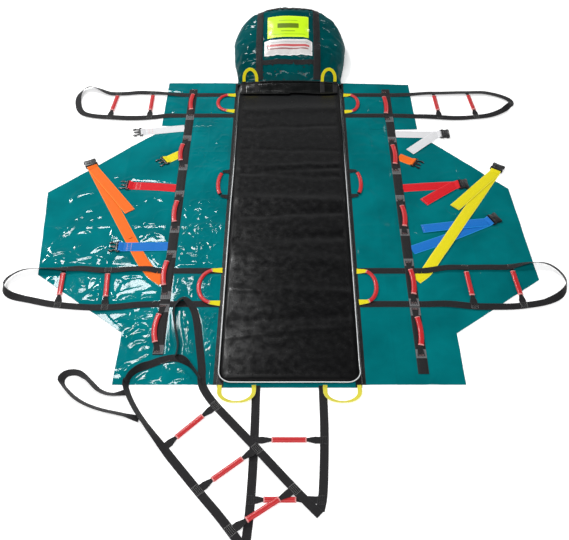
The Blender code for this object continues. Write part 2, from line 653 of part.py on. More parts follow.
def build_carry_harness(black):
    for side, sign in (("left", -1), ("right", 1)):
        near = CARRY_NEAR_Y[side]
        long_strap = strip([Vector((sign * CARRY_X, CARRY_FAR_Y, RAIL_LEVEL)),
                            Vector((sign * CARRY_X, near, RAIL_LEVEL))], CARRY_W, WEB_T)
        parts = [long_strap]
        for y in UPPER_RAILS + LOWER_RAILS:     # stubs that run from the mattress to the ladders
            z = RAIL_LEVEL + STUB_LIFT
            parts.append(strip([Vector((sign * STUB_X, y, z)),
                                Vector((sign * (LADDER_FOLD_X - GAP), y, z))],
                               RAIL_W, STUB_T))
        place("carry_harness_" + side, union(parts, "carry_harness"), black)


def rung(a, b, lo, hi):
    """Webbing rung from rail to rail, with a round grip sleeve from share `lo` to `hi`."""
    marks = [(0.0, 0), (lo - 0.01, 0), (lo, 1), (hi, 1), (hi + 0.01, 0), (1.0, 0)]
    path = [a.lerp(b, t) for t, _ in marks]
    sections = []
    for _, grip in marks:
        if grip:
            sections.append(oval(RUNG_GRIP_W, RUNG_GRIP_T))
        else:
            sections.append(oval(RUNG_WEB_W, RUNG_WEB_T))
    return to_mesh(sweep(path, sections), "rung")


def build_side_ladders(black):
    for key, route in LADDER_ROUTES.items():
        levels = (RAIL_LEVEL, OVER_BELT)
        path = catmull([(x, y, levels[level]) for x, y, level in route], 2)
        parts = [strip(path, RAIL_W, WEB_T, (0, -1))]
        z = OVER_BELT + RUNG_LIFT
        for end_a, end_b in LADDER_RUNGS[key]:
            parts.append(rung(Vector((*end_a, z)), Vector((*end_b, z)), 0.16, 0.76))
        sign = -1 if key.startswith("left") else 1
        place("ladder_" + key, union(parts, "ladder_" + key), black,
              (sign * LADDER_FOLD_X, route[0][1], RAIL_LEVEL + WEB_T))


# ---------------------------------------------------------------- drag ladder

def build_drag_ladder(black):
    parts = [strip(catmull(DRAG_BASE_LEFT, 2), RAIL_W, WEB_T),
             strip(catmull(DRAG_BASE_RIGHT, 2), RAIL_W, WEB_T)]
    z = FLOOR + RUNG_LIFT
    for end_a, end_b, lo, hi in DRAG_BASE_RUNGS:
        parts.append(rung(Vector((*end_a, z)), Vector((*end_b, z)), lo, hi))
    place("drag_ladder_base", union(parts, "drag_ladder_base"), black)

    parts = [strip(catmull(DRAG_FOLD_LEFT, 3), RAIL_W, WEB_T),
             strip(catmull(DRAG_FOLD_RIGHT, 3), RAIL_W, WEB_T),
             strip(catmull(DRAG_LOOP, 3), RAIL_W, WEB_T + 0.0004)]
    for end_a, end_b in DRAG_FOLD_RUNGS:
        parts.append(rung(Vector(end_a), Vector(end_b), 0.22, 0.76))
    place("drag_ladder_folded", union(parts, "drag_ladder_folded"), black)

    levels = (RAIL_LEVEL, HANDLE_LEVEL)
    cross = strip(catmull([(x, y, levels[k]) for x, y, k in WING_CROSS], 3), RAIL_W, WEB_T)
    route = [(x, y, levels[k] + STUB_LIFT) for x, y, k in WING_LOOP]
    loop = strip(catmull(route, 3), WING_LOOP_W, WING_LOOP_T)
    place("drag_ladder_loops", union([cross, loop], "drag_ladder_loops"), black)


# ---------------------------------------------------------------- patient belts and buckles

def buckle_mesh(female):
    """Side-release buckle half: webbing bar at x = 0, catch end at x = BUCKLE_L."""
    half = BUCKLE_W / 2
    if female:
        outline = [(0.0, -half), (0.012, -half), (0.016, -half + 0.004), (0.030, -half + 0.004),
                   (0.034, -half), (BUCKLE_L, -half + 0.003)]
    else:
        outline = [(0.0, -half), (0.014, -half), (0.018, -half + 0.010), (0.030, -half + 0.004),
                   (0.040, -half + 0.001), (BUCKLE_L, -half + 0.009), (0.028, -half + 0.014),
                   (0.024, -half + 0.020), (0.042, -0.006)]
    outline += [(x, -y) for x, y in reversed(outline)]
    body = slab(outline, 0.0, BUCKLE_T if female else BUCKLE_MALE_T, "buckle")
    x0, x1, y1 = BUCKLE_SLOT
    slot = slab([(x0, -y1), (x1, -y1), (x1, y1), (x0, y1)], -BUCKLE_T, 2 * BUCKLE_T, "slot")
    base = bpy.data.objects.new("buckle", body)
    tool = bpy.data.objects.new("slot", slot)
    for item in (base, tool):
        bpy.context.scene.collection.objects.link(item)
    modifier = base.modifiers.new("slot", "BOOLEAN")
    modifier.operation = "DIFFERENCE"
    modifier.object = tool
    depsgraph = bpy.context.evaluated_depsgraph_get()
    mesh = bpy.data.meshes.new_from_object(base.evaluated_get(depsgraph))
    bpy.data.objects.remove(base)
    bpy.data.objects.remove(tool)
    return mesh


def build_belts(mats, black):
    halves = {True: buckle_mesh(True), False: buckle_mesh(False)}
    for mesh in halves.values():
        mesh.materials.append(black)
    for key, (color, run, tail_end) in BELTS.items():
        levels = BELT_LEVELS.get(key, [RAIL_LEVEL] * len(run))
        path = [Vector((x, y, z)) for (x, y), z in zip(run, levels)]
        root_cut = () if key in FREE_FOLDED else (0,)
        parts = [strip(path, BELT_W, BELT_T, root_cut)]
        end = path[-1]
        heading = (end - path[-2]).normalized()
        if tail_end:
            raised = BELT_T - 0.0001
            start = end - heading * TAIL_SETBACK + Vector((0.0, 0.0, raised))
            parts.append(tail_strip(key, start, tail_end, path, raised))
        mesh = union(parts, "belt") if tail_end else parts[0]
        place("belt_" + key, mesh, mats[color], path[0])
        buckle = bpy.data.objects.new("buckle_" + key, halves[tail_end is not None])
        buckle.location = end + heading * GAP * 2
        buckle.location.z = end.z
        buckle.rotation_euler = (0.0, 0.0, math.atan2(heading.y, heading.x))
        bpy.context.scene.collection.objects.link(buckle)


def tail_strip(key, start, tail_end, path, raised):
    """The belt's free tail, folded back over its own run."""
    finish = Vector((*tail_end, 0.0))
    points = []
    for i in range(6):
        point = start.lerp(finish, i / 5)
        point.z = belt_height(path, point) + raised
        points.append(point)
    return strip(points, BELT_W - 0.002, BELT_T)


def belt_height(path, point):
    """Underside of the belt's run beside a plan point."""
    nearest = min(range(len(path) - 1),
                  key=lambda i: ((path[i] + path[i + 1]) / 2 - point).to_2d().length)
    a = path[nearest]
    b = path[nearest + 1]
    along = (b - a).to_2d()
    t = (point - a).to_2d().dot(along) / along.length_squared
    return a.z + (b.z - a.z) * min(max(t, 0.0), 1.0)


def main():
    clear_scene()
    teal = material("teal_coated_sheet", TEAL, 0.28)
    black = material("black_webbing", BLACK, 0.75)
    pvc = material("black_pvc", PVC_BLACK, 0.22)
    red = material("red_sleeve", RED, 0.45)
    yellow = material("yellow_webbing", YELLOW, 0.60)
    white = material("white_webbing", WHITE, 0.60)
    mats = {"white": white, "yellow": yellow,
            "red": material("red_webbing", RED, 0.60),
            "orange": material("orange_webbing", ORANGE, 0.60),
            "blue": material("blue_webbing", BLUE, 0.60)}
    build_sheets(teal)
    build_mattress(pvc, material("foam", FOAM, 0.90), white)
    build_pocket(teal, black, material("lime_panel", LIME, 0.40), white)
    build_carry_harness(black)
    build_side_ladders(black)
    build_grips(red)
    build_end_loops(yellow)
    build_drag_ladder(black)
    build_belts(mats, material("black_nylon", BLACK, 0.40))


main()
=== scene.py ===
"""Rescue stretcher: the visible model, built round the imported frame, in metres."""

import math
import random

import bmesh
import bpy
import numpy as np
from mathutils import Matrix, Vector, noise
from mathutils.bvhtree import BVHTree


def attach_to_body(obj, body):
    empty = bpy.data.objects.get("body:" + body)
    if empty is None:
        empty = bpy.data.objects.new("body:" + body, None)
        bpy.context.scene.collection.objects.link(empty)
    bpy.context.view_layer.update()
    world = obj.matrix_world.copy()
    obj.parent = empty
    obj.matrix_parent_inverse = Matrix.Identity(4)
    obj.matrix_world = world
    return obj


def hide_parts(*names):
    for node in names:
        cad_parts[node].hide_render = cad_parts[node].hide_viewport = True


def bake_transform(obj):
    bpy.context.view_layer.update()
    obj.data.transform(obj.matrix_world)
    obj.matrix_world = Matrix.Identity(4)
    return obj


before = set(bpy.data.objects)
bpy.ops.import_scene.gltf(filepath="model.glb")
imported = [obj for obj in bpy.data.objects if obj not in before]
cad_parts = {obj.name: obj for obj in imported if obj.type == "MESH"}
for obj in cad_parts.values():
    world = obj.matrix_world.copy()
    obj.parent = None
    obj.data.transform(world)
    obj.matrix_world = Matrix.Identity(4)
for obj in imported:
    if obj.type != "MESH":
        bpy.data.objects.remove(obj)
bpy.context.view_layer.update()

UP = Vector((0.0, 0.0, 1.0))
SHEET_TOP = 0.0015
WEB_T = 0.0020
BELT_T = 0.0015
RAIL_Z = 0.0018
GRIP_Z = 0.0041
CARRY_X = 0.490
RAIL_W = 0.030
BELT_W = 0.050
LADDER_X = 0.537
BELT_X = 0.5115
SIDES = {"left": -1, "right": 1}

PAD_W, PAD_L, PAD_TOP, PAD_R = 0.2560, 0.9965, 0.0205, 0.045
FOLD_IN, FOLD_OUT = 0.2630, 0.2722      # the sheet turns up between these as a wing folds

WINGS = {
    "left": [(-0.620, 0.800), (-0.621, 0.458), (-0.508, 0.452), (-0.507, 0.414),
             (-0.630, 0.4105), (-1.078, -0.008), (-1.020, -0.484), (-0.639, -0.772),
             (-0.641, -1.000)],
    "right": [(0.611, 0.785), (0.618, 0.430), (0.507, 0.4285), (0.507, 0.392),
              (0.632, 0.380), (0.982, 0.015), (1.006, -0.512), (0.636, -0.775),
              (0.638, -1.000)],
}
# grips: far end, near end, hinge line and outward bow
CARRY_GRIPS = {
    "left": [(0.710, 0.565, 0.4750, 0.010), (0.325, 0.190, 0.4915, 0.010),
             (-0.055, -0.205, 0.4820, 0.010), (-0.405, -0.555, 0.4900, 0.010),
             (-0.675, -0.830, 0.4900, 0.015)],
    "right": [(0.690, 0.535, 0.4630, 0.010), (0.320, 0.165, 0.4740, 0.010),
              (-0.085, -0.230, 0.4790, 0.010), (-0.450, -0.600, 0.4780, 0.010),
              (-0.690, -0.845, 0.4790, 0.010)],
}
SIDE_LOOPS = {
    "left": [(0.705, 0.560, 0.087), (0.135, -0.045, 0.050), (-0.455, -0.640, 0.091)],
    "right": [(0.705, 0.555, 0.071), (0.140, -0.040, 0.050), (-0.460, -0.635, 0.075)],
}
RAILS = (0.700, 0.535, -0.465, -0.635)
POCKET_HOOPS = [(0.746, 0.2660, 0.060), (0.775, 0.2662, 0.092), (0.815, 0.2675, 0.124),
                (0.870, 0.2760, 0.154), (0.935, 0.2860, 0.178), (1.005, 0.2900, 0.199),
                (1.070, 0.2860, 0.217), (1.125, 0.2700, 0.226), (1.165, 0.2450, 0.216),
                (1.195, 0.2150, 0.180), (1.212, 0.1850, 0.120)]
LADDERS = {
    "left_upper": [(-0.537, 0.700, 0), (-0.590, 0.704, 0), (-0.690, 0.714, 1), (-0.760, 0.716, 1),
                   (-0.830, 0.708, 1), (-0.910, 0.708, 1), (-0.975, 0.740, 1), (-1.022, 0.752, 1),
                   (-1.055, 0.712, 1), (-1.063, 0.655, 1), (-1.040, 0.575, 1), (-0.990, 0.535, 1),
                   (-0.880, 0.517, 1), (-0.770, 0.510, 1), (-0.680, 0.517, 1), (-0.600, 0.533, 0),
                   (-0.537, 0.535, 0)],
    "right_upper": [(0.537, 0.700, 0), (0.610, 0.702, 0), (0.700, 0.708, 1), (0.830, 0.712, 1),
                    (0.920, 0.714, 1), (0.995, 0.712, 1), (1.060, 0.690, 1), (1.108, 0.650, 1),
                    (1.100, 0.608, 1), (1.045, 0.562, 1), (0.980, 0.532, 1), (0.890, 0.518, 1),
                    (0.800, 0.512, 1), (0.710, 0.520, 1), (0.620, 0.528, 0), (0.537, 0.535, 0)],
    "left_lower": [(-0.537, -0.465, 0), (-0.575, -0.456, 1), (-0.640, -0.458, 1),
                   (-0.760, -0.464, 1), (-0.850, -0.455, 1), (-0.930, -0.462, 1),
                   (-1.020, -0.462, 1), (-1.085, -0.474, 1), (-1.128, -0.512, 1),
                   (-1.137, -0.560, 1), (-1.105, -0.595, 1), (-1.030, -0.615, 1),
                   (-0.920, -0.640, 1), (-0.800, -0.652, 1), (-0.700, -0.652, 1),
                   (-0.600, -0.640, 1), (-0.537, -0.635, 0)],
    "right_lower": [(0.537, -0.465, 0), (0.575, -0.462, 1), (0.640, -0.450, 1), (0.720, -0.450, 1),
                    (0.800, -0.448, 1), (0.890, -0.448, 1), (0.985, -0.432, 1), (1.050, -0.438, 1),
                    (1.092, -0.482, 1), (1.105, -0.540, 1), (1.075, -0.592, 1), (1.010, -0.625, 1),
                    (0.910, -0.645, 1), (0.820, -0.650, 1), (0.720, -0.648, 1), (0.620, -0.635, 1),
                    (0.537, -0.635, 0)],
}
RUNGS = {
    "left_upper": [((-0.692, 0.712), (-0.690, 0.520)), ((-0.868, 0.708), (-0.885, 0.520))],
    "right_upper": [((0.730, 0.708), (0.738, 0.520)), ((0.902, 0.712), (0.920, 0.524))],
    "left_lower": [((-0.738, -0.462), (-0.722, -0.652)), ((-0.918, -0.460), (-0.908, -0.642))],
    "right_lower": [((0.716, -0.450), (0.724, -0.648)), ((0.904, -0.446), (0.918, -0.645))],
}
BASE_LEFT = [(-0.120, -1.004, 0.0018), (-0.120, -1.030, 0.0006), (-0.121, -1.250, 0.0004),
             (-0.127, -1.450, 0.0004), (-0.137, -1.580, 0.0004)]
BASE_RIGHT = [(0.120, -1.004, 0.0018), (0.120, -1.030, 0.0006), (0.120, -1.200, 0.0004),
              (0.110, -1.400, 0.0004), (0.098, -1.468, 0.0004)]
BASE_RUNGS = [((-0.121, -1.220), (0.118, -1.220), 0.25, 0.75),
              ((-0.128, -1.432), (0.102, -1.432), 0.19, 0.65)]
FOLD_RIGHT = [(0.098, -1.482, 0.0040), (0.060, -1.445, 0.0096), (0.000, -1.380, 0.0094),
              (-0.120, -1.245, 0.0094), (-0.200, -1.155, 0.0042), (-0.270, -1.075, 0.0022),
              (-0.311, -1.012, 0.0022), (-0.321, -0.965, 0.0020)]
FOLD_LEFT = [(-0.150, -1.580, 0.0094), (-0.220, -1.492, 0.0062), (-0.300, -1.400, 0.0022),
             (-0.420, -1.260, 0.0022), (-0.510, -1.150, 0.0022), (-0.560, -1.075, 0.0022),
             (-0.589, -1.012, 0.0022), (-0.588, -0.985, 0.0020)]
FOLD_LOOP = [(-0.580, -1.030, 0.0006), (-0.630, -1.045, 0.0006), (-0.680, -1.030, 0.0006),
             (-0.728, -0.985, 0.0006), (-0.775, -0.950, 0.0006), (-0.815, -0.955, 0.0006),
             (-0.825, -0.990, 0.0006), (-0.785, -1.040, 0.0006), (-0.735, -1.078, 0.0006),
             (-0.670, -1.105, 0.0006), (-0.600, -1.122, 0.0006), (-0.525, -1.140, 0.0006)]
FOLD_RUNGS = [((-0.262, -1.088, 0.0026), (-0.428, -1.250, 0.0026)),
              ((-0.110, -1.255, 0.0098), (-0.300, -1.400, 0.0029)),
              ((0.018, -1.398, 0.0098), (-0.186, -1.535, 0.0088))]
WING_CROSS = [(-0.590, -0.998, 0), (-0.578, -0.965, 0), (-0.550, -0.936, 0), (-0.505, -0.912, 0),
              (-0.460, -0.893, 0), (-0.415, -0.888, 0), (-0.375, -0.912, 0), (-0.340, -0.955, 0),
              (-0.319, -0.990, 0)]
WING_LOOP = [(-0.320, -0.978, 0), (-0.322, -0.930, 0), (-0.338, -0.830, 0), (-0.358, -0.715, 1),
             (-0.380, -0.652, 1), (-0.418, -0.612, 1), (-0.448, -0.662, 1), (-0.436, -0.750, 0),
             (-0.418, -0.830, 0), (-0.420, -0.885, 0)]
# belts: colour, run from root to buckle, end of the folded-back tail, height at each point
BELTS = {
    "left_white": ("white", [(-BELT_X, 0.438), (-0.610, 0.424), (-0.708, 0.408)], None),
    "left_yellow": ("yellow", [(-LADDER_X, 0.233), (-0.572, 0.207)], None),
    "left_red": ("red", [(-BELT_X, 0.020), (-0.610, 0.030), (-0.718, 0.036)], None),
    "left_blue": ("blue", [(-BELT_X, -0.330), (-0.610, -0.334), (-0.708, -0.336)], None),
    "left_orange": ("orange", [(-0.674, -0.285), (-0.760, -0.123), (-0.908, 0.158)],
                    (-0.696, -0.128)),
    "right_white": ("white", [(BELT_X, 0.394), (0.620, 0.391), (0.722, 0.391)], (0.566, 0.264)),
    "right_orange": ("orange", [(LADDER_X, 0.214), (0.572, 0.192)], None),
    "right_red": ("red", [(BELT_X, 0.020), (0.640, 0.032), (0.758, 0.040)], (0.592, -0.072)),
    "right_yellow": ("yellow", [(0.597, -0.409), (0.620, -0.373), (0.655, -0.320),
                                (0.755, -0.164), (0.810, -0.078), (0.944, 0.130)],
                     (0.722, -0.108)),
    "right_blue": ("blue", [(BELT_X, -0.352), (0.650, -0.292), (0.740, -0.248),
                            (0.862, -0.186)], (0.566, -0.232)),
}
BELT_Z = {"left_blue": [0.0018, 0.0036, 0.0036],
          "right_yellow": [0.0064, 0.0064, 0.0064, 0.0064, 0.0018, 0.0018]}
# roots that lie on the wing, from the carry strap to where the belt lifts off
ROOTS = {"left_yellow": [(-0.5095, 0.2534), (-0.537, 0.233)],
         "left_orange": [(-0.5095, -0.520), (-0.556, -0.482), (-0.610, -0.405), (-0.674, -0.285)],
         "right_orange": [(0.5095, 0.2312), (0.537, 0.214)],
         "right_yellow": [(0.5095, -0.512), (0.556, -0.470), (0.597, -0.409)]}


# ---------------------------------------------------------------- materials

def srgb(*rgb):
    """Linear colour from 8-bit display values."""
    out = []
    for c in rgb:
        c = c / 255
        out.append(c / 12.92 if c <= 0.04045 else ((c + 0.055) / 1.055) ** 2.4)
    return (*out, 1.0)


class Paint:
    """A node material that works in the piece's own surface coordinates, in metres."""

    def __init__(self, name, roughness, specular=0.5, coat=0.0, coat_roughness=0.1, sheen=0.0):
        self.mat = bpy.data.materials.new(name)
        self.mat.use_nodes = True
        self.nodes = self.mat.node_tree.nodes
        self.links = self.mat.node_tree.links
        self.shader = self.nodes["Principled BSDF"]
        for socket, value in (("Roughness", roughness), ("Specular IOR Level", specular),
                              ("Coat Weight", coat), ("Coat Roughness", coat_roughness),
                              ("Sheen Weight", sheen)):
            self.shader.inputs[socket].default_value = value
        self.uv = self.nodes.new("ShaderNodeTexCoord").outputs["UV"]

    def feed(self, socket, value):
        if isinstance(value, bpy.types.NodeSocket):
            self.links.new(value, socket)
        elif value is not None:
            socket.default_value = value

    def math(self, operation, a, b=None, clamp=False):
        node = self.nodes.new("ShaderNodeMath")
        node.operation = operation
        node.use_clamp = clamp
        self.feed(node.inputs[0], a)
        self.feed(node.inputs[1], b)
        return node.outputs[0]

    def axes(self):
        node = self.nodes.new("ShaderNodeSeparateXYZ")
        self.links.new(self.uv, node.inputs[0])
        return node.outputs[0], node.outputs[1]

    def stretch(self, x, y):
        node = self.nodes.new("ShaderNodeVectorMath")
        node.operation = "MULTIPLY"
        self.links.new(self.uv, node.inputs[0])
        node.inputs[1].default_value = (x, y, 1.0)
        return node.outputs[0]

    def noise(self, scale, detail=3.0, vector=None):
        node = self.nodes.new("ShaderNodeTexNoise")
        node.inputs["Scale"].default_value = scale
        node.inputs["Detail"].default_value = detail
        self.links.new(vector or self.uv, node.inputs["Vector"])
        return node.outputs["Fac"]

    def remap(self, value, low, high, out_low, out_high):
        node = self.nodes.new("ShaderNodeMapRange")
        self.links.new(value, node.inputs["Value"])
        for name, number in (("From Min", low), ("From Max", high), ("To Min", out_low),
                             ("To Max", out_high)):
            node.inputs[name].default_value = number
        return node.outputs["Result"]

    def mix(self, share, a, b):
        node = self.nodes.new("ShaderNodeMix")
        node.data_type = "RGBA"
        self.feed(node.inputs["Factor"], share)
        self.feed(node.inputs[6], a)
        self.feed(node.inputs[7], b)
        return node.outputs[2]

    def colour(self, value):
        self.feed(self.shader.inputs["Base Color"], value)
        return self

    def roughness(self, value):
        self.feed(self.shader.inputs["Roughness"], value)
        return self

    def bump(self, height, distance, strength=1.0, below=None):
        node = self.nodes.new("ShaderNodeBump")
        self.feed(node.inputs["Strength"], strength)
        node.inputs["Distance"].default_value = distance
        self.links.new(height, node.inputs["Height"])
        if below is not None:
            self.links.new(below, node.inputs["Normal"])
        self.links.new(node.outputs["Normal"], self.shader.inputs["Normal"])
        return node.outputs["Normal"]


def coated_fabric(name, dark, light, roughness, coat, wrinkle, scrim=0.00004, specular=0.5,
                  crushed=None):
    """Glossy coated cloth: a faint woven ground under the film, and fine crinkles. `crushed`
    is (u from, u to, v from, v to) of a strip where the film is sharply creased."""
    p = Paint(name, roughness, specular, coat, 0.06)
    tone = p.remap(p.noise(4.5, 5.0), 0.35, 0.65, 0.0, 1.0)
    p.colour(p.mix(tone, dark, light))
    p.roughness(p.remap(p.noise(35.0, 4.0), 0.3, 0.7, roughness * 0.75, roughness * 1.3))
    u, v = p.axes()
    pitch = math.tau / 0.0016
    weave = p.math("MULTIPLY", p.math("SINE", p.math("MULTIPLY", u, pitch)),
                   p.math("SINE", p.math("MULTIPLY", v, pitch)))
    ground = p.bump(weave, scrim)
    crinkle = p.math("ADD", p.noise(16.0, 2.0), p.math("MULTIPLY", p.noise(60.0, 2.0), 0.22))
    normal = p.bump(crinkle, wrinkle, 1.0, ground)
    if crushed:
        low, high, near, far = crushed
        across = p.math("ABSOLUTE", u)
        inside = p.math("MULTIPLY", p.remap(across, low - 0.01, low + 0.01, 0.0, 1.0),
                        p.remap(across, high - 0.06, high + 0.06, 1.0, 0.0))
        inside = p.math("MULTIPLY", inside, p.remap(v, far - 0.25, far, 1.0, 0.0))
        inside = p.math("MULTIPLY", inside, p.remap(v, near, near + 0.02, 0.0, 1.0))
        patchy = p.remap(p.noise(7.0, 2.0), 0.42, 0.58, 0.25, 1.0)
        ridge = p.math("ABSOLUTE", p.math("SUBTRACT", p.noise(34.0, 2.0), 0.5))
        p.bump(ridge, 0.0055, p.math("MULTIPLY", inside, patchy, True), normal)
    return p.mat


def pad_cover():
    """Black coated cover of the mattress, duller where it turns down at the edges."""
    p = Paint("black_pvc", 0.22, 0.5, 0.3, 0.08)
    p.colour(p.mix(p.remap(p.noise(4.5, 5.0), 0.35, 0.65, 0.0, 1.0), srgb(5, 5, 6),
                   srgb(8, 8, 9)))
    u, v = p.axes()
    inner = p.math("MINIMUM", p.math("SUBTRACT", PAD_W, p.math("ABSOLUTE", u)),
                   p.math("SUBTRACT", PAD_L, p.math("ABSOLUTE", v)))
    flat_part = p.remap(inner, 0.010, 0.034, 0.0, 1.0)
    p.roughness(p.math("ADD", p.remap(p.noise(35.0, 4.0), 0.3, 0.7, 0.16, 0.28),
                       p.math("MULTIPLY", p.math("SUBTRACT", 1.0, flat_part), 0.20)))
    p.feed(p.shader.inputs["Specular IOR Level"], p.remap(flat_part, 0.0, 1.0, 0.06, 0.5))
    p.feed(p.shader.inputs["Coat Weight"], p.remap(flat_part, 0.0, 1.0, 0.0, 0.15))
    crinkle = p.math("ADD", p.noise(16.0, 2.0), p.math("MULTIPLY", p.noise(60.0, 2.0), 0.22))
    p.bump(crinkle, 0.00007)
    return p.mat


def webbing(name, colour, edge, roughness=0.62, contrast=0.72):
    """Woven webbing: herringbone ribs along the strap, and a firmer edge on both sides."""
    p = Paint(name, roughness, 0.22, 0.0, 0.1, 0.04)
    u, v = p.axes()
    side = p.math("ABSOLUTE", u)
    slant = p.math("PINGPONG", p.math("MULTIPLY", side, 2.0), 0.5)
    phase = p.math("ADD", p.math("MULTIPLY", v, 1 / 0.0030), p.math("MULTIPLY", slant, 3.0))
    rib = p.math("SINE", p.math("MULTIPLY", phase, math.tau))
    cords = p.math("SINE", p.math("MULTIPLY", side, math.tau * 9))
    worn = p.remap(p.noise(38.0, 6.0), 0.3, 0.72, 0.86, 1.08)
    ground = p.mix(p.remap(rib, -1.0, 1.0, 0.0, 1.0),
                   tuple(c * contrast for c in colour[:3]) + (1.0,), colour)
    selvage = p.remap(side, 0.86, 0.93, 0.0, 1.0)
    tinted = p.mix(p.math("MULTIPLY", selvage, 0.85, True), ground, edge)
    shade = p.nodes.new("ShaderNodeVectorMath")
    shade.operation = "SCALE"
    p.links.new(tinted, shade.inputs[0])
    p.links.new(worn, shade.inputs["Scale"])
    p.colour(shade.outputs[0])
    p.roughness(p.remap(worn, 0.86, 1.08, roughness * 1.12, roughness * 0.88))
    height = p.math("ADD", p.math("MULTIPLY", rib, 0.6), p.math("MULTIPLY", cords, 0.4))
    p.bump(height, 0.00016)
    return p.mat


def plastic(name, colour, light, roughness, coat=0.0, grain=0.00005, streak=(1.0, 1.0)):
    """Moulded or extruded plastic with a fine grain and slight scuffs."""
    p = Paint(name, roughness, 0.5, coat, 0.12)
    vector = p.stretch(*streak)
    p.colour(p.mix(p.remap(p.noise(26.0, 5.0, vector), 0.38, 0.68, 0.0, 1.0), colour, light))
    p.roughness(p.remap(p.noise(90.0, 3.0, vector), 0.3, 0.7, roughness * 0.8, roughness * 1.25))
    p.bump(p.noise(700.0, 2.0, vector), grain)
    return p.mat


def panel(name, base, edge, bars):
    """Plain satin panel with a border line and soft unlettered bands."""
    p = Paint(name, 0.32, 0.5, 0.25, 0.15)
    u, v = p.axes()
    cloud = p.remap(p.noise(60.0, 3.0), 0.3, 0.7, 0.0, 1.0)
    tone = p.mix(p.math("MULTIPLY", cloud, 0.35), base, edge)
    for low, high, reach, tint in bars:
        inside = p.math("MULTIPLY", p.math("GREATER_THAN", v, low), p.math("LESS_THAN", v, high))
        inside = p.math("MULTIPLY", inside, p.math("LESS_THAN", p.math("ABSOLUTE", u), reach))
        tone = p.mix(inside, tone, tint)
    rim = p.math("MAXIMUM", p.math("GREATER_THAN", p.math("ABSOLUTE", u), 0.955),
                 p.math("GREATER_THAN", p.math("ABSOLUTE", p.math("SUBTRACT", v, 0.5)), 0.45))
    p.colour(p.mix(rim, tone, edge))
    p.bump(p.noise(300.0, 2.0), 0.00008)
    return p.mat


TEAL = coated_fabric("teal_pvc", srgb(0, 98, 104), srgb(0, 117, 123), 0.38, 0.30, 0.0005,
                     0.000012, 0.0, crushed=(0.280, 0.385, -0.99, 0.50))
TEAL_SOFT = coated_fabric("teal_pvc_soft", srgb(2, 93, 98), srgb(3, 110, 115), 0.45, 0.09,
                          0.0006, 0.000012, 0.0)
# darker copy of the teal PVC for the pouch: painted shade
TEAL_POUCH_SHADED = coated_fabric("teal_pvc_painted_shade", srgb(0, 60, 63), srgb(0, 76, 79), 0.38, 0.15, 0.0006,
                          0.000012, 0.0)
PVC = pad_cover()
# black binding of the sheet edges and the pouch's mouth, also used as painted shade on the pouch's
# inner skin
BINDING_AND_SHADE = coated_fabric("black_binding_and_painted_shade", srgb(10, 10, 11), srgb(18, 18, 20), 0.42, 0.1, 0.0003,
                        specular=0.3)
GLOSS = coated_fabric("black_gloss", srgb(8, 9, 9), srgb(15, 17, 17), 0.20, 0.6, 0.0012)
BLACK = webbing("black_webbing", srgb(25, 24, 26), srgb(40, 38, 41))
PATCH = webbing("sewn_webbing", srgb(94, 94, 96), srgb(112, 112, 114))
WEB = {
    "yellow": webbing("yellow_webbing", srgb(232, 218, 8), srgb(244, 234, 80), 0.6, 0.86),
    "red": webbing("red_webbing", srgb(214, 8, 26), srgb(240, 50, 60), 0.6, 0.82),
    "orange": webbing("orange_webbing", srgb(244, 108, 12), srgb(250, 140, 48), 0.6, 0.84),
    "blue": webbing("blue_webbing", srgb(6, 112, 200), srgb(36, 146, 228), 0.6, 0.80),
    "white": webbing("white_webbing", srgb(222, 222, 224), srgb(238, 238, 240), 0.6, 0.90),
}
SOFT_YELLOW = webbing("loop_webbing", srgb(222, 212, 66), srgb(236, 230, 120), 0.6, 0.88)
SLEEVE = plastic("red_sleeve", srgb(174, 8, 16), srgb(200, 26, 33), 0.42, 0.15, 0.00006,
                 (1.0, 0.25))
BAND = plastic("pale_band", srgb(206, 122, 120), srgb(222, 150, 148), 0.45)
CORD = plastic("white_piping", srgb(196, 198, 199), srgb(222, 224, 224), 0.32, 0.3)
NYLON = plastic("black_nylon", srgb(17, 17, 19), srgb(30, 30, 32), 0.38, 0.1)
GREY_THREAD = plastic("grey_thread", srgb(158, 158, 156), srgb(182, 182, 180), 0.7)
PALE_THREAD = plastic("pale_thread", srgb(244, 186, 186), srgb(252, 218, 214), 0.7)
DARK_THREAD = plastic("dark_thread", srgb(70, 70, 72), srgb(90, 90, 92), 0.7)
LIME = panel("lime_panel", srgb(190, 236, 12), srgb(214, 248, 52),
             [(0.42, 0.64, 0.52, srgb(96, 122, 12)), (0.26, 0.30, 0.34, srgb(130, 164, 14)),
              (0.76, 0.79, 0.46, srgb(140, 176, 14)), (0.12, 0.15, 0.84, srgb(150, 188, 16))])
PALE = panel("white_panel", srgb(204, 200, 198), srgb(232, 232, 232),
             [(0.50, 0.66, 0.88, srgb(190, 84, 86)), (0.30, 0.40, 0.84, srgb(150, 104, 104)),
              (0.78, 0.82, 0.80, srgb(140, 140, 142))])


# ---------------------------------------------------------------- shapes

def attach(obj, body=None, blend=None, replaces=()):
    if blend:
        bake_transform(obj)
    else:
        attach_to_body(obj, body)
    if replaces:
        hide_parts(*replaces)
    return obj


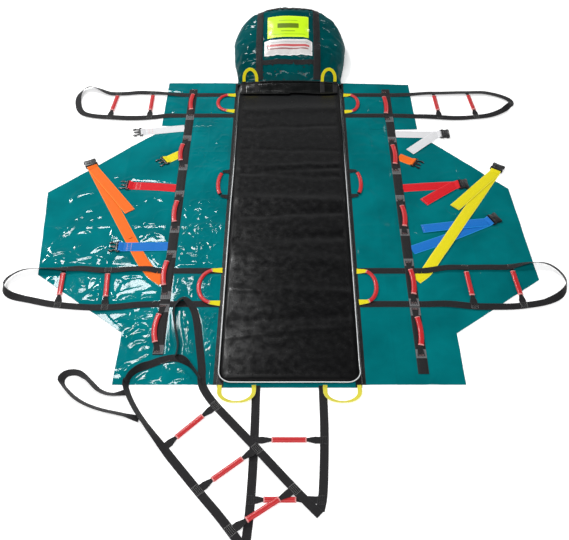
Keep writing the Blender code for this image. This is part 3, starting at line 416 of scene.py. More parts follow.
class Shape:
    """Faces, surface coordinates and material numbers of one piece."""

    def __init__(self):
        self.verts = []
        self.faces = []
        self.uvs = []
        self.mats = []

    def sweep(self, path, sections, ups=None, mats=None):
        first = len(self.verts)
        sides = len(sections[0])
        last = len(path) - 1
        run = 0.0
        for i, point in enumerate(path):
            tangent = (path[min(i + 1, last)] - path[max(i - 1, 0)]).normalized()
            up = ups[i] if ups else UP
            side = tangent.cross(up).normalized()
            normal = side.cross(tangent)
            if i:
                run += (point - path[i - 1]).length
            for u, v, tex in sections[i]:
                self.verts.append(point + side * u + normal * v)
                self.uvs.append((tex, run))
        mats = mats or [0] * (last + 1)
        for i in range(last):
            row = first + i * sides
            for k in range(sides):
                j = (k + 1) % sides
                self.faces.append((row + k, row + j, row + sides + j, row + sides + k))
                self.mats.append(mats[i])
        for ring in (0, last):
            row = first + ring * sides
            self.faces.append(tuple(range(row, row + sides)))
            self.mats.append(mats[max(ring - 1, 0)])
        return self

    def build(self, name, materials, sharp=42):
        mesh = bpy.data.meshes.new(name)
        mesh.from_pydata([tuple(v) for v in self.verts], [], self.faces)
        for mat in materials:
            mesh.materials.append(mat)
        mesh.polygons.foreach_set("material_index", self.mats)
        layer = mesh.uv_layers.new(name="surface")
        index = np.empty(len(mesh.loops), np.int32)
        mesh.loops.foreach_get("vertex_index", index)
        layer.data.foreach_set("uv", np.array(self.uvs, np.float32)[index].ravel())
        return finish_mesh(name, mesh, sharp)


def finish_mesh(name, mesh, sharp=42):
    bm = bmesh.new()
    bm.from_mesh(mesh)
    bmesh.ops.recalc_face_normals(bm, faces=bm.faces)
    bm.to_mesh(mesh)
    bm.free()
    mesh.shade_smooth()
    if sharp:
        mesh.set_sharp_from_angle(angle=math.radians(sharp))
    obj = bpy.data.objects.new(name, mesh)
    bpy.context.scene.collection.objects.link(obj)
    return obj


def curve(points, step=0.012):
    """Smooth line through the points, in steps of about `step`."""
    pts = [Vector(p) for p in points]
    out = []
    for i in range(len(pts) - 1):
        p1 = pts[i]
        p2 = pts[i + 1]
        p0 = pts[i - 1] if i else p1 * 2 - p2
        p3 = pts[i + 2] if i + 2 < len(pts) else p2 * 2 - p1
        count = max(1, round((p2 - p1).length / step))
        for k in range(count):
            t = k / count
            out.append((p1 * 2 + (p2 - p0) * t + (p0 * 2 - p1 * 5 + p2 * 4 - p3) * t * t
                        + (p1 * 3 - p0 - p2 * 3 + p3) * t ** 3) * 0.5)
    out.append(pts[-1])
    return out


def shares(path):
    """How far along the path each point is, from 0 to 1."""
    run = [0.0]
    for a, b in zip(path, path[1:]):
        run.append(run[-1] + (b - a).length)
    return [r / run[-1] for r in run]


def flat(width, thick=WEB_T):
    """Section of a strap, standing on its path, with slightly rounded edges."""
    half = width / 2
    ring = [(-0.94, 0.0), (-0.4, 0.0), (0.4, 0.0), (0.94, 0.0), (1.0, 0.5), (0.94, 0.97),
            (0.4, 1.0), (-0.4, 1.0), (-0.94, 0.97), (-1.0, 0.5)]
    return [(u * half, v * thick, u) for u, v in ring]


def round_section(width, height, sides=14):
    """Oval section standing on its path."""
    ring = []
    for k in range(sides):
        angle = math.tau * k / sides
        ring.append((width / 2 * math.cos(angle), height / 2 * (1 + math.sin(angle)),
                     abs(2 * k / sides - 1)))
    return ring


def ribbon(shape, points, width, thick=WEB_T, twist=None, wave=0.0, seed=0.0, step=0.012,
           widths=None, mat=0):
    """Lay a strap along the points. `twist` holds (share, degrees) marks, and `wave` is how
    far it stands off what it lies on, in places."""
    path = curve(points, step)
    along = shares(path)
    ups = []
    for i, t in enumerate(along):
        angle = math.radians(np.interp(t, *zip(*twist))) if twist else 0.0
        a = path[min(i + 1, len(path) - 1)] - path[max(i - 1, 0)]
        side = a.normalized().cross(UP).normalized()
        ups.append(UP * math.cos(angle) + side * math.sin(angle))
    for i, t in enumerate(along):
        angle = math.radians(np.interp(t, *zip(*twist))) if twist else 0.0
        w = width if widths is None else float(np.interp(t, *zip(*widths)))
        ease = min(1.0, 10 * t, 10 * (1 - t))
        lift = wave * ease * (0.5 + 0.5 * math.sin(t * 41.0 + seed * 7.3) * math.cos(t * 17.0))
        path[i].z += w / 2 * abs(math.sin(angle)) + lift
    sections = []
    for t in along:
        w = width if widths is None else float(np.interp(t, *zip(*widths)))
        sections.append(flat(w, thick))
    shape.sweep(path, sections, ups, [mat] * len(path))
    return path


STITCHES = {}


def stitch(body, a, b, thread="grey", up=UP, pitch=0.0044):
    """A row of stitches from a to b, gathered with the others on the same body."""
    shape = STITCHES.setdefault((body, thread), Shape())
    along = b - a
    side = along.cross(up).normalized() * 0.0006
    count = max(1, round(along.length / pitch))
    for i in range(count):
        p = a.lerp(b, (i + 0.14) / count)
        q = a.lerp(b, (i + 0.86) / count)
        mid = (p + q) / 2
        first = len(shape.verts)
        shape.verts += [p, q, mid + side, mid - side, mid + up * 0.0006, mid - up * 0.0003]
        shape.uvs += [(v.x, v.y) for v in shape.verts[first:]]
        for x, y, z in ((0, 2, 4), (2, 1, 4), (1, 3, 4), (3, 0, 4), (2, 0, 5), (1, 2, 5),
                        (3, 1, 5), (0, 3, 5)):
            shape.faces.append((first + x, first + y, first + z))
            shape.mats.append(0)


def stitch_block(body, centre, along, length, width, thread="grey", up=UP):
    """Sewn patch: doubled bars across both ends and rows along it."""
    along = along.normalized()
    across = up.cross(along).normalized()

    def at(u, v):
        return centre + along * (u * length / 2) + across * (v * width / 2)

    for end in (-1, 1):
        for inset in (0.0, 0.10):
            stitch(body, at(end - end * inset, -1), at(end - end * inset, 1), thread, up)
    for v in (-1, 1):
        stitch(body, at(-1, v), at(1, v), thread, up)
    for v in (-0.5, 0.0, 0.5):
        stitch(body, at(-0.8, v), at(0.8, v), thread, up)


# ---------------------------------------------------------------- wrinkled base sheets

def distance(x, y, line):
    """Distance in plan from each point to a line of points."""
    best = np.full(x.shape, 9.0)
    for (ax, ay), (bx, by) in zip(line, line[1:]):
        dx = bx - ax
        dy = by - ay
        t = np.clip(((x - ax) * dx + (y - ay) * dy) / (dx * dx + dy * dy + 1e-12), 0, 1)
        best = np.minimum(best, np.hypot(x - ax - t * dx, y - ay - t * dy))
    return best


def footprints(side):
    """(line, half width) of everything that lies on a wing."""
    s = SIDES[side]
    marks = [([(s * CARRY_X, 0.75), (s * CARRY_X, -0.96)], 0.022)]
    marks += [([(s * 0.265, y), (s * LADDER_X, y)], 0.017) for y in RAILS]
    for key, route in LADDERS.items():
        if key.startswith(side):
            marks.append(([p[:2] for p in route], 0.016))
            marks += [(list(r), 0.012) for r in RUNGS[key]]
    for key, (_, run, tail) in BELTS.items():
        if key.startswith(side):
            marks.append((run, 0.028))
            if tail:
                marks.append(([run[-1], tail], 0.028))
        if key.startswith(side) and key in ROOTS:
            marks.append((ROOTS[key], 0.028))
    if side == "left":
        marks += [([p[:2] for p in WING_CROSS], 0.017), ([p[:2] for p in WING_LOOP], 0.017)]
    marks.append(([(s * 0.262, 1.0), (s * 0.262, -1.1)], 0.014))
    return marks


# where the sheet crinkles: x from, x to, y from, y to, count, ridge length, ridge width, height
CRINKLES = {
    "left": [(-0.285, -0.370, -0.99, -0.60, 150, 0.020, 0.0046, 0.0034),
             (-0.290, -0.470, -0.62, -0.02, 130, 0.018, 0.0046, 0.0028),
             (-0.290, -0.470, -0.02, 0.50, 50, 0.018, 0.0050, 0.0018),
             (-1.010, -0.560, -0.66, -0.24, 44, 0.046, 0.0105, 0.0030),
             (-0.980, -0.560, -0.26, 0.10, 26, 0.040, 0.0100, 0.0022),
             (-0.980, -0.580, -0.66, -0.10, 30, 0.022, 0.0060, 0.0022),
             (-0.640, -0.360, -1.00, -0.64, 46, 0.028, 0.0075, 0.0030),
             (-0.620, -0.280, 0.10, 0.79, 40, 0.050, 0.0120, 0.0018),
             (-0.700, -0.520, 0.36, 0.42, 10, 0.018, 0.0050, 0.0028)],
    "right": [(0.285, 0.420, -0.99, -0.50, 16, 0.018, 0.0050, 0.0018),
              (0.300, 0.960, -0.60, 0.36, 48, 0.080, 0.0170, 0.0024),
              (0.280, 0.480, -0.45, 0.79, 40, 0.080, 0.0150, 0.0028),
              (0.280, 0.620, -1.00, 0.79, 30, 0.060, 0.0160, 0.0018),
              (0.400, 0.620, -1.00, -0.70, 10, 0.030, 0.0100, 0.0016)],
}
# long packing creases: two ends and a height
CREASES = {
    "left": [((-0.27, 0.262), (-0.60, 0.262), 0.0010), ((-0.27, -0.205), (-1.05, -0.225), 0.0012),
             ((-0.27, -0.705), (-0.64, -0.712), 0.0012), ((-0.385, 0.80), (-0.385, -1.0), 0.0009),
             ((-0.745, 0.30), (-0.760, -0.70), 0.0014)],
    "right": [((0.27, 0.240), (0.80, 0.255), 0.0009), ((0.27, -0.215), (1.00, -0.200), 0.0009),
              ((0.27, -0.690), (0.64, -0.700), 0.0009), ((0.385, 0.80), (0.385, -1.0), 0.0008),
              ((0.760, 0.20), (0.770, -0.68), 0.0011)],
}


def wrinkles(side, x, y):
    """Height of a wing's crinkles over its flat lie."""
    rng = random.Random(7 if side == "left" else 11)
    height = np.zeros(x.shape)
    for x0, x1, y0, y1, count, length, width, tall in CRINKLES[side]:
        for _ in range(count):
            cx = rng.uniform(x0, x1)
            cy = rng.uniform(y0, y1)
            angle = rng.gauss(0.5, 1.0)
            reach = length * rng.uniform(0.5, 1.6)
            wide = width * rng.uniform(0.7, 1.4)
            amount = tall * rng.uniform(0.35, 1.0) * rng.choice((1, 1, 1, -0.6))
            near = (np.abs(x - cx) < 3 * reach) & (np.abs(y - cy) < 3 * reach)
            dx = x[near] - cx
            dy = y[near] - cy
            along = dx * math.cos(angle) + dy * math.sin(angle)
            across = dy * math.cos(angle) - dx * math.sin(angle) + 0.6 * along ** 2 / reach
            height[near] += (amount * np.exp(-(along / reach) ** 2)
                             * np.exp(-(across / wide) ** 2))
    for a, b, tall in CREASES[side]:
        d = distance(x, y, [a, b])
        height += tall * np.exp(-(d / 0.005) ** 2) + tall * 0.6 * np.exp(-(d / 0.03) ** 2)
    rolling = np.array([noise.noise(Vector((px * 5.0, py * 5.0, 3.0)))
                        + 0.5 * noise.noise(Vector((px * 13.0, py * 13.0, 8.0)))
                        for px, py in zip(x, y)])
    height += 0.0016 + 0.0016 * rolling
    clear = np.ones(x.shape)
    for line, half in footprints(side):
        clear = np.minimum(clear, np.clip((distance(x, y, line) - half) / 0.016, 0, 1))
    for far, near_y, reach in SIDE_LOOPS[side]:
        mid = (far + near_y) / 2
        outer = [(SIDES[side] * (0.28 + reach * math.sin(a)), mid + (far - mid) * math.cos(a))
                 for a in np.linspace(0, math.pi, 9)]
        clear = np.minimum(clear, 0.25 + np.clip(distance(x, y, outer) / 0.04, 0, 0.75))
    return np.clip(height, 0.0, 0.0095) * clear * clear * (3 - 2 * clear)


def close_layers(shape, rows, columns, mats=lambda c: (0, 0), rim=0):
    """Faces of a closed sheet: two layers of grid points and the strip round their edge."""
    under = rows * columns
    for r in range(rows - 1):
        for c in range(columns - 1):
            a = r * columns + c
            quad = (a, a + 1, a + columns + 1, a + columns)
            shape.faces += [quad, tuple(under + v for v in reversed(quad))]
            shape.mats += mats(c)
    edge = (list(range(columns)) + [r * columns + columns - 1 for r in range(1, rows)]
            + [(rows - 1) * columns + c for c in range(columns - 2, -1, -1)]
            + [r * columns for r in range(rows - 2, 0, -1)])
    for a, b in zip(edge, edge[1:] + edge[:1]):
        shape.faces.append((a, b, under + b, under + a))
        shape.mats.append(rim)


def grid_sheet(name, rows, top, materials, mat_of=lambda c: 0):
    """Closed sheet from rows of plan points, with a height for each."""
    shape = Shape()
    for drop in (0.0, SHEET_TOP - 0.0003):
        heights = iter(top)
        for row in rows:
            for x, y in row:
                shape.verts.append(Vector((x, y, next(heights) - drop)))
                shape.uvs.append((x, y))
    close_layers(shape, len(rows), len(rows[0]), lambda c: (mat_of(c), mat_of(c)))
    return shape.build(name, materials, 60)


ROW_STEP = 0.0046               # mesh rows of a wing
WING_COLUMNS = 150
WING_START = 0.2765             # where the wing's free mesh begins, past its fold
FOLD_COLUMNS = 8                # columns across the fold, bound in black
CENTRE_COLUMNS = 22             # on each side of the middle


def wing_sheet(side):
    s = SIDES[side]
    outline = WINGS[side]
    stations = []
    for (xa, ya), (xb, yb) in zip(outline, outline[1:]):
        count = max(1, round(abs(ya - yb) / ROW_STEP))
        stations += [(xa + (xb - xa) * k / count, ya + (yb - ya) * k / count)
                     for k in range(count)]
    stations.append(outline[-1])
    slant = 0.800 - outline[0][1]
    inner = [FOLD_IN + (FOLD_OUT - FOLD_IN) * k / (FOLD_COLUMNS - 1)
             for k in range(FOLD_COLUMNS)] + [WING_START]
    rows = []
    for x_out, y in stations:
        rise = slant * max(0.0, 1 - (outline[0][1] - y) / 0.10)
        x_edge = abs(x_out) + 0.0016 * noise.noise(Vector((y * 9.0, s * 2.0, 0.0)))
        xs = inner + [WING_START + (x_edge - WING_START) * (k / WING_COLUMNS) ** 1.35
                      for k in range(1, WING_COLUMNS + 1)]
        rows.append([(s * x, y + rise * (1 - (x - FOLD_IN) / (x_edge - FOLD_IN))) for x in xs])
    flat_x = np.array([x for row in rows for x, _ in row])
    flat_y = np.array([y for row in rows for _, y in row])
    top = SHEET_TOP + wrinkles(side, flat_x, flat_y)
    cloth = TEAL if side == "left" else TEAL_SOFT
    obj = grid_sheet(side + "_wing_fabric", rows, top, [cloth, BINDING_AND_SHADE],
                     lambda c: int(c < FOLD_COLUMNS))
    attach(obj, replaces=[side + "_wing_sheet"],
           blend=("root", side + "_wing", (s * FOLD_IN, 0, 0), (s * FOLD_OUT, 0, 0)))


def centre_sheet():
    profile = [(0.2625, -1.012), (0.2625, 0.790)] + [(a - 0.004, y) for y, a, _ in POCKET_HOOPS[2:]]
    stations = []
    for (xa, ya), (xb, yb) in zip(profile, profile[1:]):
        count = max(1, round((yb - ya) / 0.012))
        stations += [(xa + (xb - xa) * k / count, ya + (yb - ya) * k / count)
                     for k in range(count)]
    stations.append(profile[-1])
    rows = [[(half * c / CENTRE_COLUMNS, y) for c in range(-CENTRE_COLUMNS, CENTRE_COLUMNS + 1)]
            for half, y in stations]
    top = []
    for row in rows:
        for x, y in row:
            ripple = 0.0007 * (1 + noise.noise(Vector((x * 14, y * 14, 1.0)))) * (y < -0.998)
            top.append(SHEET_TOP + ripple)
    bound = 2
    obj = grid_sheet("centre_fabric", rows, top, [TEAL_SOFT, BINDING_AND_SHADE],
                     lambda c: int(not bound <= c < 2 * CENTRE_COLUMNS - bound))
    attach(obj, "root", replaces=["centre_sheet"])


# ---------------------------------------------------------------- mattress

def edge_steps(length, marks=(0.0, 0.0025, 0.0055, 0.009, 0.013, 0.018, 0.025), step=0.0115):
    """Distances from one edge to the other, closer together near both."""
    inner = length - 2 * marks[-1]
    count = max(2, round(inner / step))
    middle = [marks[-1] + inner * k / count for k in range(1, count)]
    return list(marks) + middle + [length - m for m in reversed(marks)]


def simulate(obj, pins, pressure, cap, frames=20, shrink=0.0, stiffness=12.0):
    """Let the closed mesh settle as cloth under inner pressure, and keep its shape."""
    rest = np.array([v.co for v in obj.data.vertices])
    group = obj.vertex_groups.new(name="held")
    for i, weight in enumerate(pins):
        if weight > 0:
            group.add([i], float(weight), "REPLACE")
    modifier = obj.modifiers.new("cloth", "CLOTH")
    settings = modifier.settings
    settings.quality = 6
    settings.mass = 0.25
    settings.tension_stiffness = stiffness
    settings.compression_stiffness = stiffness
    settings.shear_stiffness = stiffness / 2
    settings.bending_stiffness = 0.4
    settings.use_pressure = True
    settings.uniform_pressure_force = pressure
    settings.shrink_min = shrink
    settings.vertex_group_mass = "held"
    settings.pin_stiffness = 1.0
    settings.effector_weights.gravity = 0.0
    modifier.point_cache.frame_start = 1
    modifier.point_cache.frame_end = frames
    scene = bpy.context.scene
    for number in range(1, frames + 1):
        scene.frame_set(number)
    depsgraph = bpy.context.evaluated_depsgraph_get()
    evaluated = obj.evaluated_get(depsgraph)
    moved = np.array([v.co for v in evaluated.data.vertices])
    obj.modifiers.remove(modifier)
    scene.frame_set(1)
    shift = moved - rest
    length = np.linalg.norm(shift, axis=1, keepdims=True)
    shift *= np.minimum(1.0, cap / np.maximum(length, 1e-9))
    obj.data.vertices.foreach_set("co", (rest + shift).astype(np.float32).ravel())
    obj.vertex_groups.remove(group)
    obj.data.update()


def pad_point(x, y):
    """Pull the corners of a rectangle in to the mattress's rounded outline."""
    a = (abs(x) - (PAD_W - PAD_R)) / PAD_R
    b = (abs(y) - (PAD_L - PAD_R)) / PAD_R
    if a > 0 and b > 0:
        scale = max(a, b) / math.hypot(a, b)
        x = math.copysign(PAD_W - PAD_R + a * scale * PAD_R, x)
        y = math.copysign(PAD_L - PAD_R + b * scale * PAD_R, y)
    return x, y


def pad_inset(x, y):
    """How far a point lies inside the mattress's outline."""
    a = abs(x) - (PAD_W - PAD_R)
    b = abs(y) - (PAD_L - PAD_R)
    if a > 0 and b > 0:
        return PAD_R - math.hypot(a, b)
    return min(PAD_W - abs(x), PAD_L - abs(y))


# soft ridges across the mattress: distance along it, half length, height, slant
PAD_RIDGES = [(0.425, 0.012, -0.0008, 0.010), (0.258, 0.012, -0.0008, -0.006),
              (0.150, 0.014, 0.0010, 0.012), (0.121, 0.013, -0.0013, 0.016),
              (0.086, 0.016, -0.0011, -0.014), (-0.073, 0.030, 0.0028, -0.010),
              (-0.160, 0.018, -0.0022, 0.014), (-0.300, 0.024, -0.0026, 0.012),
              (-0.420, 0.040, 0.0024, -0.016), (-0.583, 0.022, 0.0028, -0.012),
              (-0.719, 0.022, -0.0028, 0.018), (-0.781, 0.007, 0.0012, 0.030),
              (0.560, 0.030, 0.0014, 0.008), (-0.900, 0.030, 0.0012, -0.006)]


SEAM_Z = 0.0105                 # where the cover's top and bottom meet
PAD_BOTTOM = 0.0020
PAD_EDGE = 0.0090               # reach of the rounded edge
PIPING_D = 0.0042


def mattress():
    xs = [v - PAD_W for v in edge_steps(2 * PAD_W)]
    ys = [v - PAD_L for v in edge_steps(2 * PAD_L, step=0.0078)]
    shape = Shape()
    index = {}
    for layer in (0, 1):
        for r, y0 in enumerate(ys):
            for c, x0 in enumerate(xs):
                rim = r in (0, len(ys) - 1) or c in (0, len(xs) - 1)
                if layer and rim:
                    index[layer, r, c] = index[0, r, c]
                    continue
                x, y = pad_point(x0, y0)
                inset = max(pad_inset(x, y), 0.0)
                fall = math.sqrt(max(0.0, 1 - (1 - min(inset / PAD_EDGE, 1.0)) ** 2))
                if layer == 0:
                    z = SEAM_Z + (PAD_TOP - SEAM_Z) * fall
                else:
                    z = SEAM_Z - (SEAM_Z - PAD_BOTTOM) * min(1.0, fall * 1.4)
                index[layer, r, c] = len(shape.verts)
                shape.verts.append(Vector((x, y, z)))
                shape.uvs.append((x, y))
    for layer in (0, 1):
        for r in range(len(ys) - 1):
            for c in range(len(xs) - 1):
                shape.faces.append((index[layer, r, c], index[layer, r, c + 1],
                                    index[layer, r + 1, c + 1], index[layer, r + 1, c]))
                shape.mats.append(0)
    obj = shape.build("mattress", [PVC], 0)
    pins = [1.0 if v.z < SEAM_Z + 0.001 else 0.10 for v in shape.verts]
    simulate(obj, pins, 0.8, 0.0014, 14)
    for vertex in obj.data.vertices:
        x, y, z = vertex.co
        if z < SEAM_Z + 0.002:
            continue
        inset = pad_inset(x, y)
        soft = min(1.0, max(0.0, (inset - 0.004) / 0.02))
        rise = 0.0
        for place, half, tall, slant in PAD_RIDGES:
            waver = 0.008 * noise.noise(Vector((x * 9.0, place * 40.0, 2.0)))
            wide = half * (1.0 + 0.5 * noise.noise(Vector((x * 6.0, place * 30.0, 5.0))))
            rise += tall * math.exp(-((y - place - waver - slant * x / PAD_W) / wide) ** 2)
        rise += 0.0009 * noise.noise(Vector((x * 5.0, y * 3.0, 0.0)))
        vertex.co.z = z + soft * rise
    attach(obj, "root", replaces=["mattress_cover", "mattress_foam"])
    shape = Shape()
    ring = []
    reach = 0.0020
    for sx, sy, start in ((1, 1, 0), (-1, 1, 90), (-1, -1, 180), (1, -1, 270)):
        for k in range(11):
            angle = math.radians(start + 9 * k)
            ring.append(Vector((sx * (PAD_W - PAD_R) + (PAD_R + reach) * math.cos(angle),
                                sy * (PAD_L - PAD_R) + (PAD_R + reach) * math.sin(angle), 0.0)))
    ring = ring[-1:] + ring
    path = []
    for a, b in zip(ring, ring[1:]):
        count = max(1, round((b - a).length / 0.02))
        path += [a.lerp(b, k / count) for k in range(count)]
    path.append(path[0].copy())
    for i, p in enumerate(path):
        # it shows along the near half, and rolls in under the edge further up
        tuck = min(1.0, max(0.0, (p.y + 0.10) / 0.35)) if p.x < 0 else 0.55
        tuck = max(tuck, min(1.0, max(0.0, (p.y + 0.10) / 0.35)))
        tuck *= min(1.0, max(0.0, (p.y + PAD_L - 0.03) / 0.04))
        p.x -= math.copysign(0.0034 * tuck, p.x)
        p.z = 0.0158 - 0.0085 * tuck + 0.0004 * math.sin(i * 0.35) * (0 < i < len(path) - 1)
    shape.sweep(path, [round_section(PIPING_D, PIPING_D, 10)] * len(path))
    cord = shape.build("mattress_piping_cord", [CORD], 0)
    attach(cord, "root", replaces=["mattress_piping"])


# ---------------------------------------------------------------- foot pocket

def pocket_size(y):
    """Half width and height of the pouch, smoothed between its hoops."""
    for i in range(len(POCKET_HOOPS) - 1):
        y0 = POCKET_HOOPS[i][0]
        y1 = POCKET_HOOPS[i + 1][0]
        if y <= y1 + 1e-9:
            t = (y - y0) / (y1 - y0)
            out = []
            for k in (1, 2):
                p1 = POCKET_HOOPS[i][k]
                p2 = POCKET_HOOPS[i + 1][k]
                p0 = POCKET_HOOPS[max(i - 1, 0)][k]
                p3 = POCKET_HOOPS[min(i + 2, len(POCKET_HOOPS) - 1)][k]
                out.append(0.5 * (2 * p1 + (p2 - p0) * t + (2 * p0 - 5 * p1 + 4 * p2 - p3) * t * t
                                  + (3 * p1 - p0 - 3 * p2 + p3) * t ** 3))
            return out
    return POCKET_HOOPS[-1][1:]


POCKET_Y0, POCKET_Y1 = 0.747, 1.210
SKIRT = 0.0255
ARCH = 64
STRAP_X = (-0.153, 0.139)
CROSS_Y = (0.818, 1.150)


def pocket_hoop(y, half, height):
    points = [Vector((half, y, z)) for z in (0.0020, 0.010, 0.018)]
    power = 2 / 2.35
    for i in range(ARCH + 1):
        angle = math.pi * i / ARCH
        c = math.cos(angle)
        x = half * math.copysign(abs(c) ** power, c)
        points.append(Vector((x, y, SKIRT + (height - SKIRT) * max(math.sin(angle), 0) ** power)))
    return points + [Vector((-half, y, z)) for z in (0.018, 0.010, 0.0020)]


def pocket():
    """The pouch, settled as cloth between its straps. Returns its surface for ray casts."""
    count = 52
    hoops = []
    for i in range(count + 1):
        y = POCKET_Y0 + (POCKET_Y1 - POCKET_Y0) * i / count
        half, height = pocket_size(y)
        hoops.append(pocket_hoop(y, half - 0.003, height - 0.004))
    half, height = pocket_size(POCKET_Y1)
    for k in (0.82, 0.6, 0.36, 0.12, 0.006):
        hoops.append(pocket_hoop(POCKET_Y1 + 0.0018 * (1 - k), (half - 0.003) * k,
                                 max((height - 0.004) * (0.35 + 0.65 * k), SKIRT + 0.003)))
    width = len(hoops[0])
    shape = Shape()
    for r, hoop in enumerate(hoops):
        run = 0.0
        for c, p in enumerate(hoop):
            run += (p - hoop[c - 1]).length if c else 0.0
            shape.verts.append(p)
            shape.uvs.append((run, p.y))
    for r in range(len(hoops) - 1):
        for c in range(width - 1):
            a = r * width + c
            shape.faces.append((a, a + 1, a + width + 1, a + width))
            shape.mats.append(0)
    obj = shape.build("foot_pocket_fabric", [TEAL_POUCH_SHADED, BINDING_AND_SHADE], 0)
    rest = [v.copy() for v in shape.verts]
    pins = []
    for p in rest:
        held = 0.06
        if p.z < 0.015 or p.y > POCKET_Y1 - 0.001 or p.y < POCKET_Y0 + 0.004:
            held = 1.0
        elif min(abs(p.x - x) for x in STRAP_X) < 0.019 and p.z > 0.05:
            held = 0.7
        elif min(abs(p.y - y) for y in CROSS_Y) < 0.012 and abs(p.x) < 0.15:
            held = 0.7
        pins.append(held)
    simulate(obj, pins, 1.6, 0.010, 22, -0.035, 9.0)
    rng = random.Random(5)
    folds = []
    for _ in range(46):
        folds.append((rng.choice((-1, 1)) * rng.uniform(0.10, 0.28), rng.uniform(0.76, 1.20),
                      rng.gauss(1.2, 0.5), rng.uniform(0.020, 0.070), rng.uniform(0.006, 0.013),
                      rng.uniform(0.0015, 0.0045) * rng.choice((1, -1))))
    for _ in range(10):
        folds.append((rng.uniform(-0.02, 0.15), rng.uniform(0.80, 0.90), rng.gauss(0.1, 0.3),
                      rng.uniform(0.03, 0.07), 0.007, 0.0035))
    for vertex in obj.data.vertices:
        x, y, z = vertex.co
        if z < 0.03 or y < POCKET_Y0 + 0.006:
            continue
        rise = 0.0035 * noise.noise(Vector((x * 11, y * 11, z * 8)))
        for cx, cy, angle, reach, wide, tall in folds:
            dx = x - cx
            dy = y - cy
            if abs(dx) > 0.2 or abs(dy) > 0.2:
                continue
            along = dx * math.cos(angle) + dy * math.sin(angle)
            across = dy * math.cos(angle) - dx * math.sin(angle)
            rise += tall * math.exp(-(along / reach) ** 2 - (across / wide) ** 2)
        ease = min(1.0, (z - 0.03) / 0.03, (y - POCKET_Y0) / 0.04)
        vertex.co += vertex.normal * max(-0.004, min(rise, 0.006)) * ease
    obj.data.update()
    tree = BVHTree.FromPolygons([v.co.copy() for v in obj.data.vertices],
                                [tuple(p.vertices) for p in obj.data.polygons])
    outer = [v.co.copy() for v in obj.data.vertices]
    normals = [v.normal.copy() for v in obj.data.vertices]
    solid = Shape()
    for skin in (0.0, SHEET_TOP):
        for p, n, uv in zip(outer, normals, shape.uvs):
            away = n if n.dot(Vector((p.x, (p.y - 0.95) * 0.3, p.z))) > 0 else -n
            solid.verts.append(p - away * skin)
            solid.uvs.append(uv)
    # material 1, the black binding, goes on the inner skin as painted shade inside the pouch, and on
    # the edge strip round it
    close_layers(solid, len(hoops), width, lambda c: (0, 1), 1)
    bpy.data.objects.remove(obj)
    # the outer skin takes the darker teal copy, painted shade on the pouch
    obj = solid.build("foot_pocket_fabric", [TEAL_POUCH_SHADED, BINDING_AND_SHADE], 60)
    attach(obj, "root", replaces=["foot_pocket"])
    rim = Shape()
    path = [Vector((p.x, p.y - 0.0005, p.z)) for p in pocket_hoop(POCKET_Y0, 0.2628, 0.0565)[2:-2]]
    rim.sweep(path, [round_section(0.0044, 0.0044, 10)] * len(path), [Vector((0, -1, 0))] * len(path))
    attach(rim.build("pocket_mouth_cord", [BINDING_AND_SHADE], 60), "root")
    return tree


FLAP_Y = 0.748
FLAP_DEPTH = 0.074


def flap_height(x, y):
    """Top of the loose flap that hangs from the pouch's mouth onto the mattress."""
    t = min(max((FLAP_Y - y) / FLAP_DEPTH, 0.0), 1.0)
    arch = max(0.0, 1 - (abs(x) / 0.262) ** 2.35) ** (1 / 2.35)
    rim = 0.0290 + 0.0225 * arch
    drop = 0.5 + 0.5 * math.cos(math.pi * t)
    fold = 0.0022 * noise.noise(Vector((x * 16, y * 22, 4.0))) * math.sin(math.pi * t)
    return 0.0285 + (rim - 0.0285) * drop + fold + 0.0008 * arch * t


def mouth_flap():
    columns, rows = 64, 14
    line = []
    for r in range(rows + 1):
        row = []
        for c in range(columns + 1):
            x = -0.250 + 0.500 * c / columns
            depth = FLAP_DEPTH * (1 - 0.06 * (1 + math.sin(x * 23 + 1.0)) * (x > 0) - 0.02)
            row.append((x, FLAP_Y - depth * r / rows))
        line.append(row)
    top = [flap_height(x, y) for row in line for x, y in row]
    obj = grid_sheet("pocket_mouth_flap", line, top, [GLOSS])
    attach(obj, "root")


def on_pocket(tree, x, y, lift):
    """Point and normal of the pouch's outside above a plan point."""
    hit, normal, _, _ = tree.ray_cast(Vector((x, y, 0.5)), Vector((0, 0, -1)))
    if hit is None:
        hit, normal, _, _ = tree.find_nearest(Vector((x, y, 0.10)))
    if normal.z < 0:
        normal = -normal
    return hit + normal * lift, normal


def draped_strap(shape, tree, line, width, thick, lift):
    """Webbing laid over the pouch along a plan line, following it on both edges."""
    path = curve([(x, y, 0.0) for x, y in line], 0.009)
    points = []
    ups = []
    for i, p in enumerate(path):
        ahead = (path[min(i + 1, len(path) - 1)] - path[max(i - 1, 0)]).normalized()
        across = Vector((ahead.y, -ahead.x, 0.0)) * width * 0.45
        hits = [on_pocket(tree, q.x, q.y, lift) for q in (p - across, p, p + across)]
        centre = hits[1][0].copy()
        centre.z = max(centre.z, (hits[0][0].z + hits[2][0].z) / 2)
        points.append(centre)
        ups.append((hits[0][1] + hits[1][1] * 2 + hits[2][1]).normalized())
    for _ in range(2):
        points = [points[0]] + [(a + b * 2 + c) / 4 for a, b, c
                                in zip(points, points[1:], points[2:])] + [points[-1]]
    shape.sweep(points, [flat(width, thick)] * len(points), ups)
    return points, ups


# blank label panels: y from, y to, x from, x to
LABELS = (("upper_panel", (0.938, 1.069, -0.112, 0.097), LIME, "panel_lime"),
          ("lower_panel", (0.842, 0.924, -0.127, 0.115), PALE, "panel_white"))


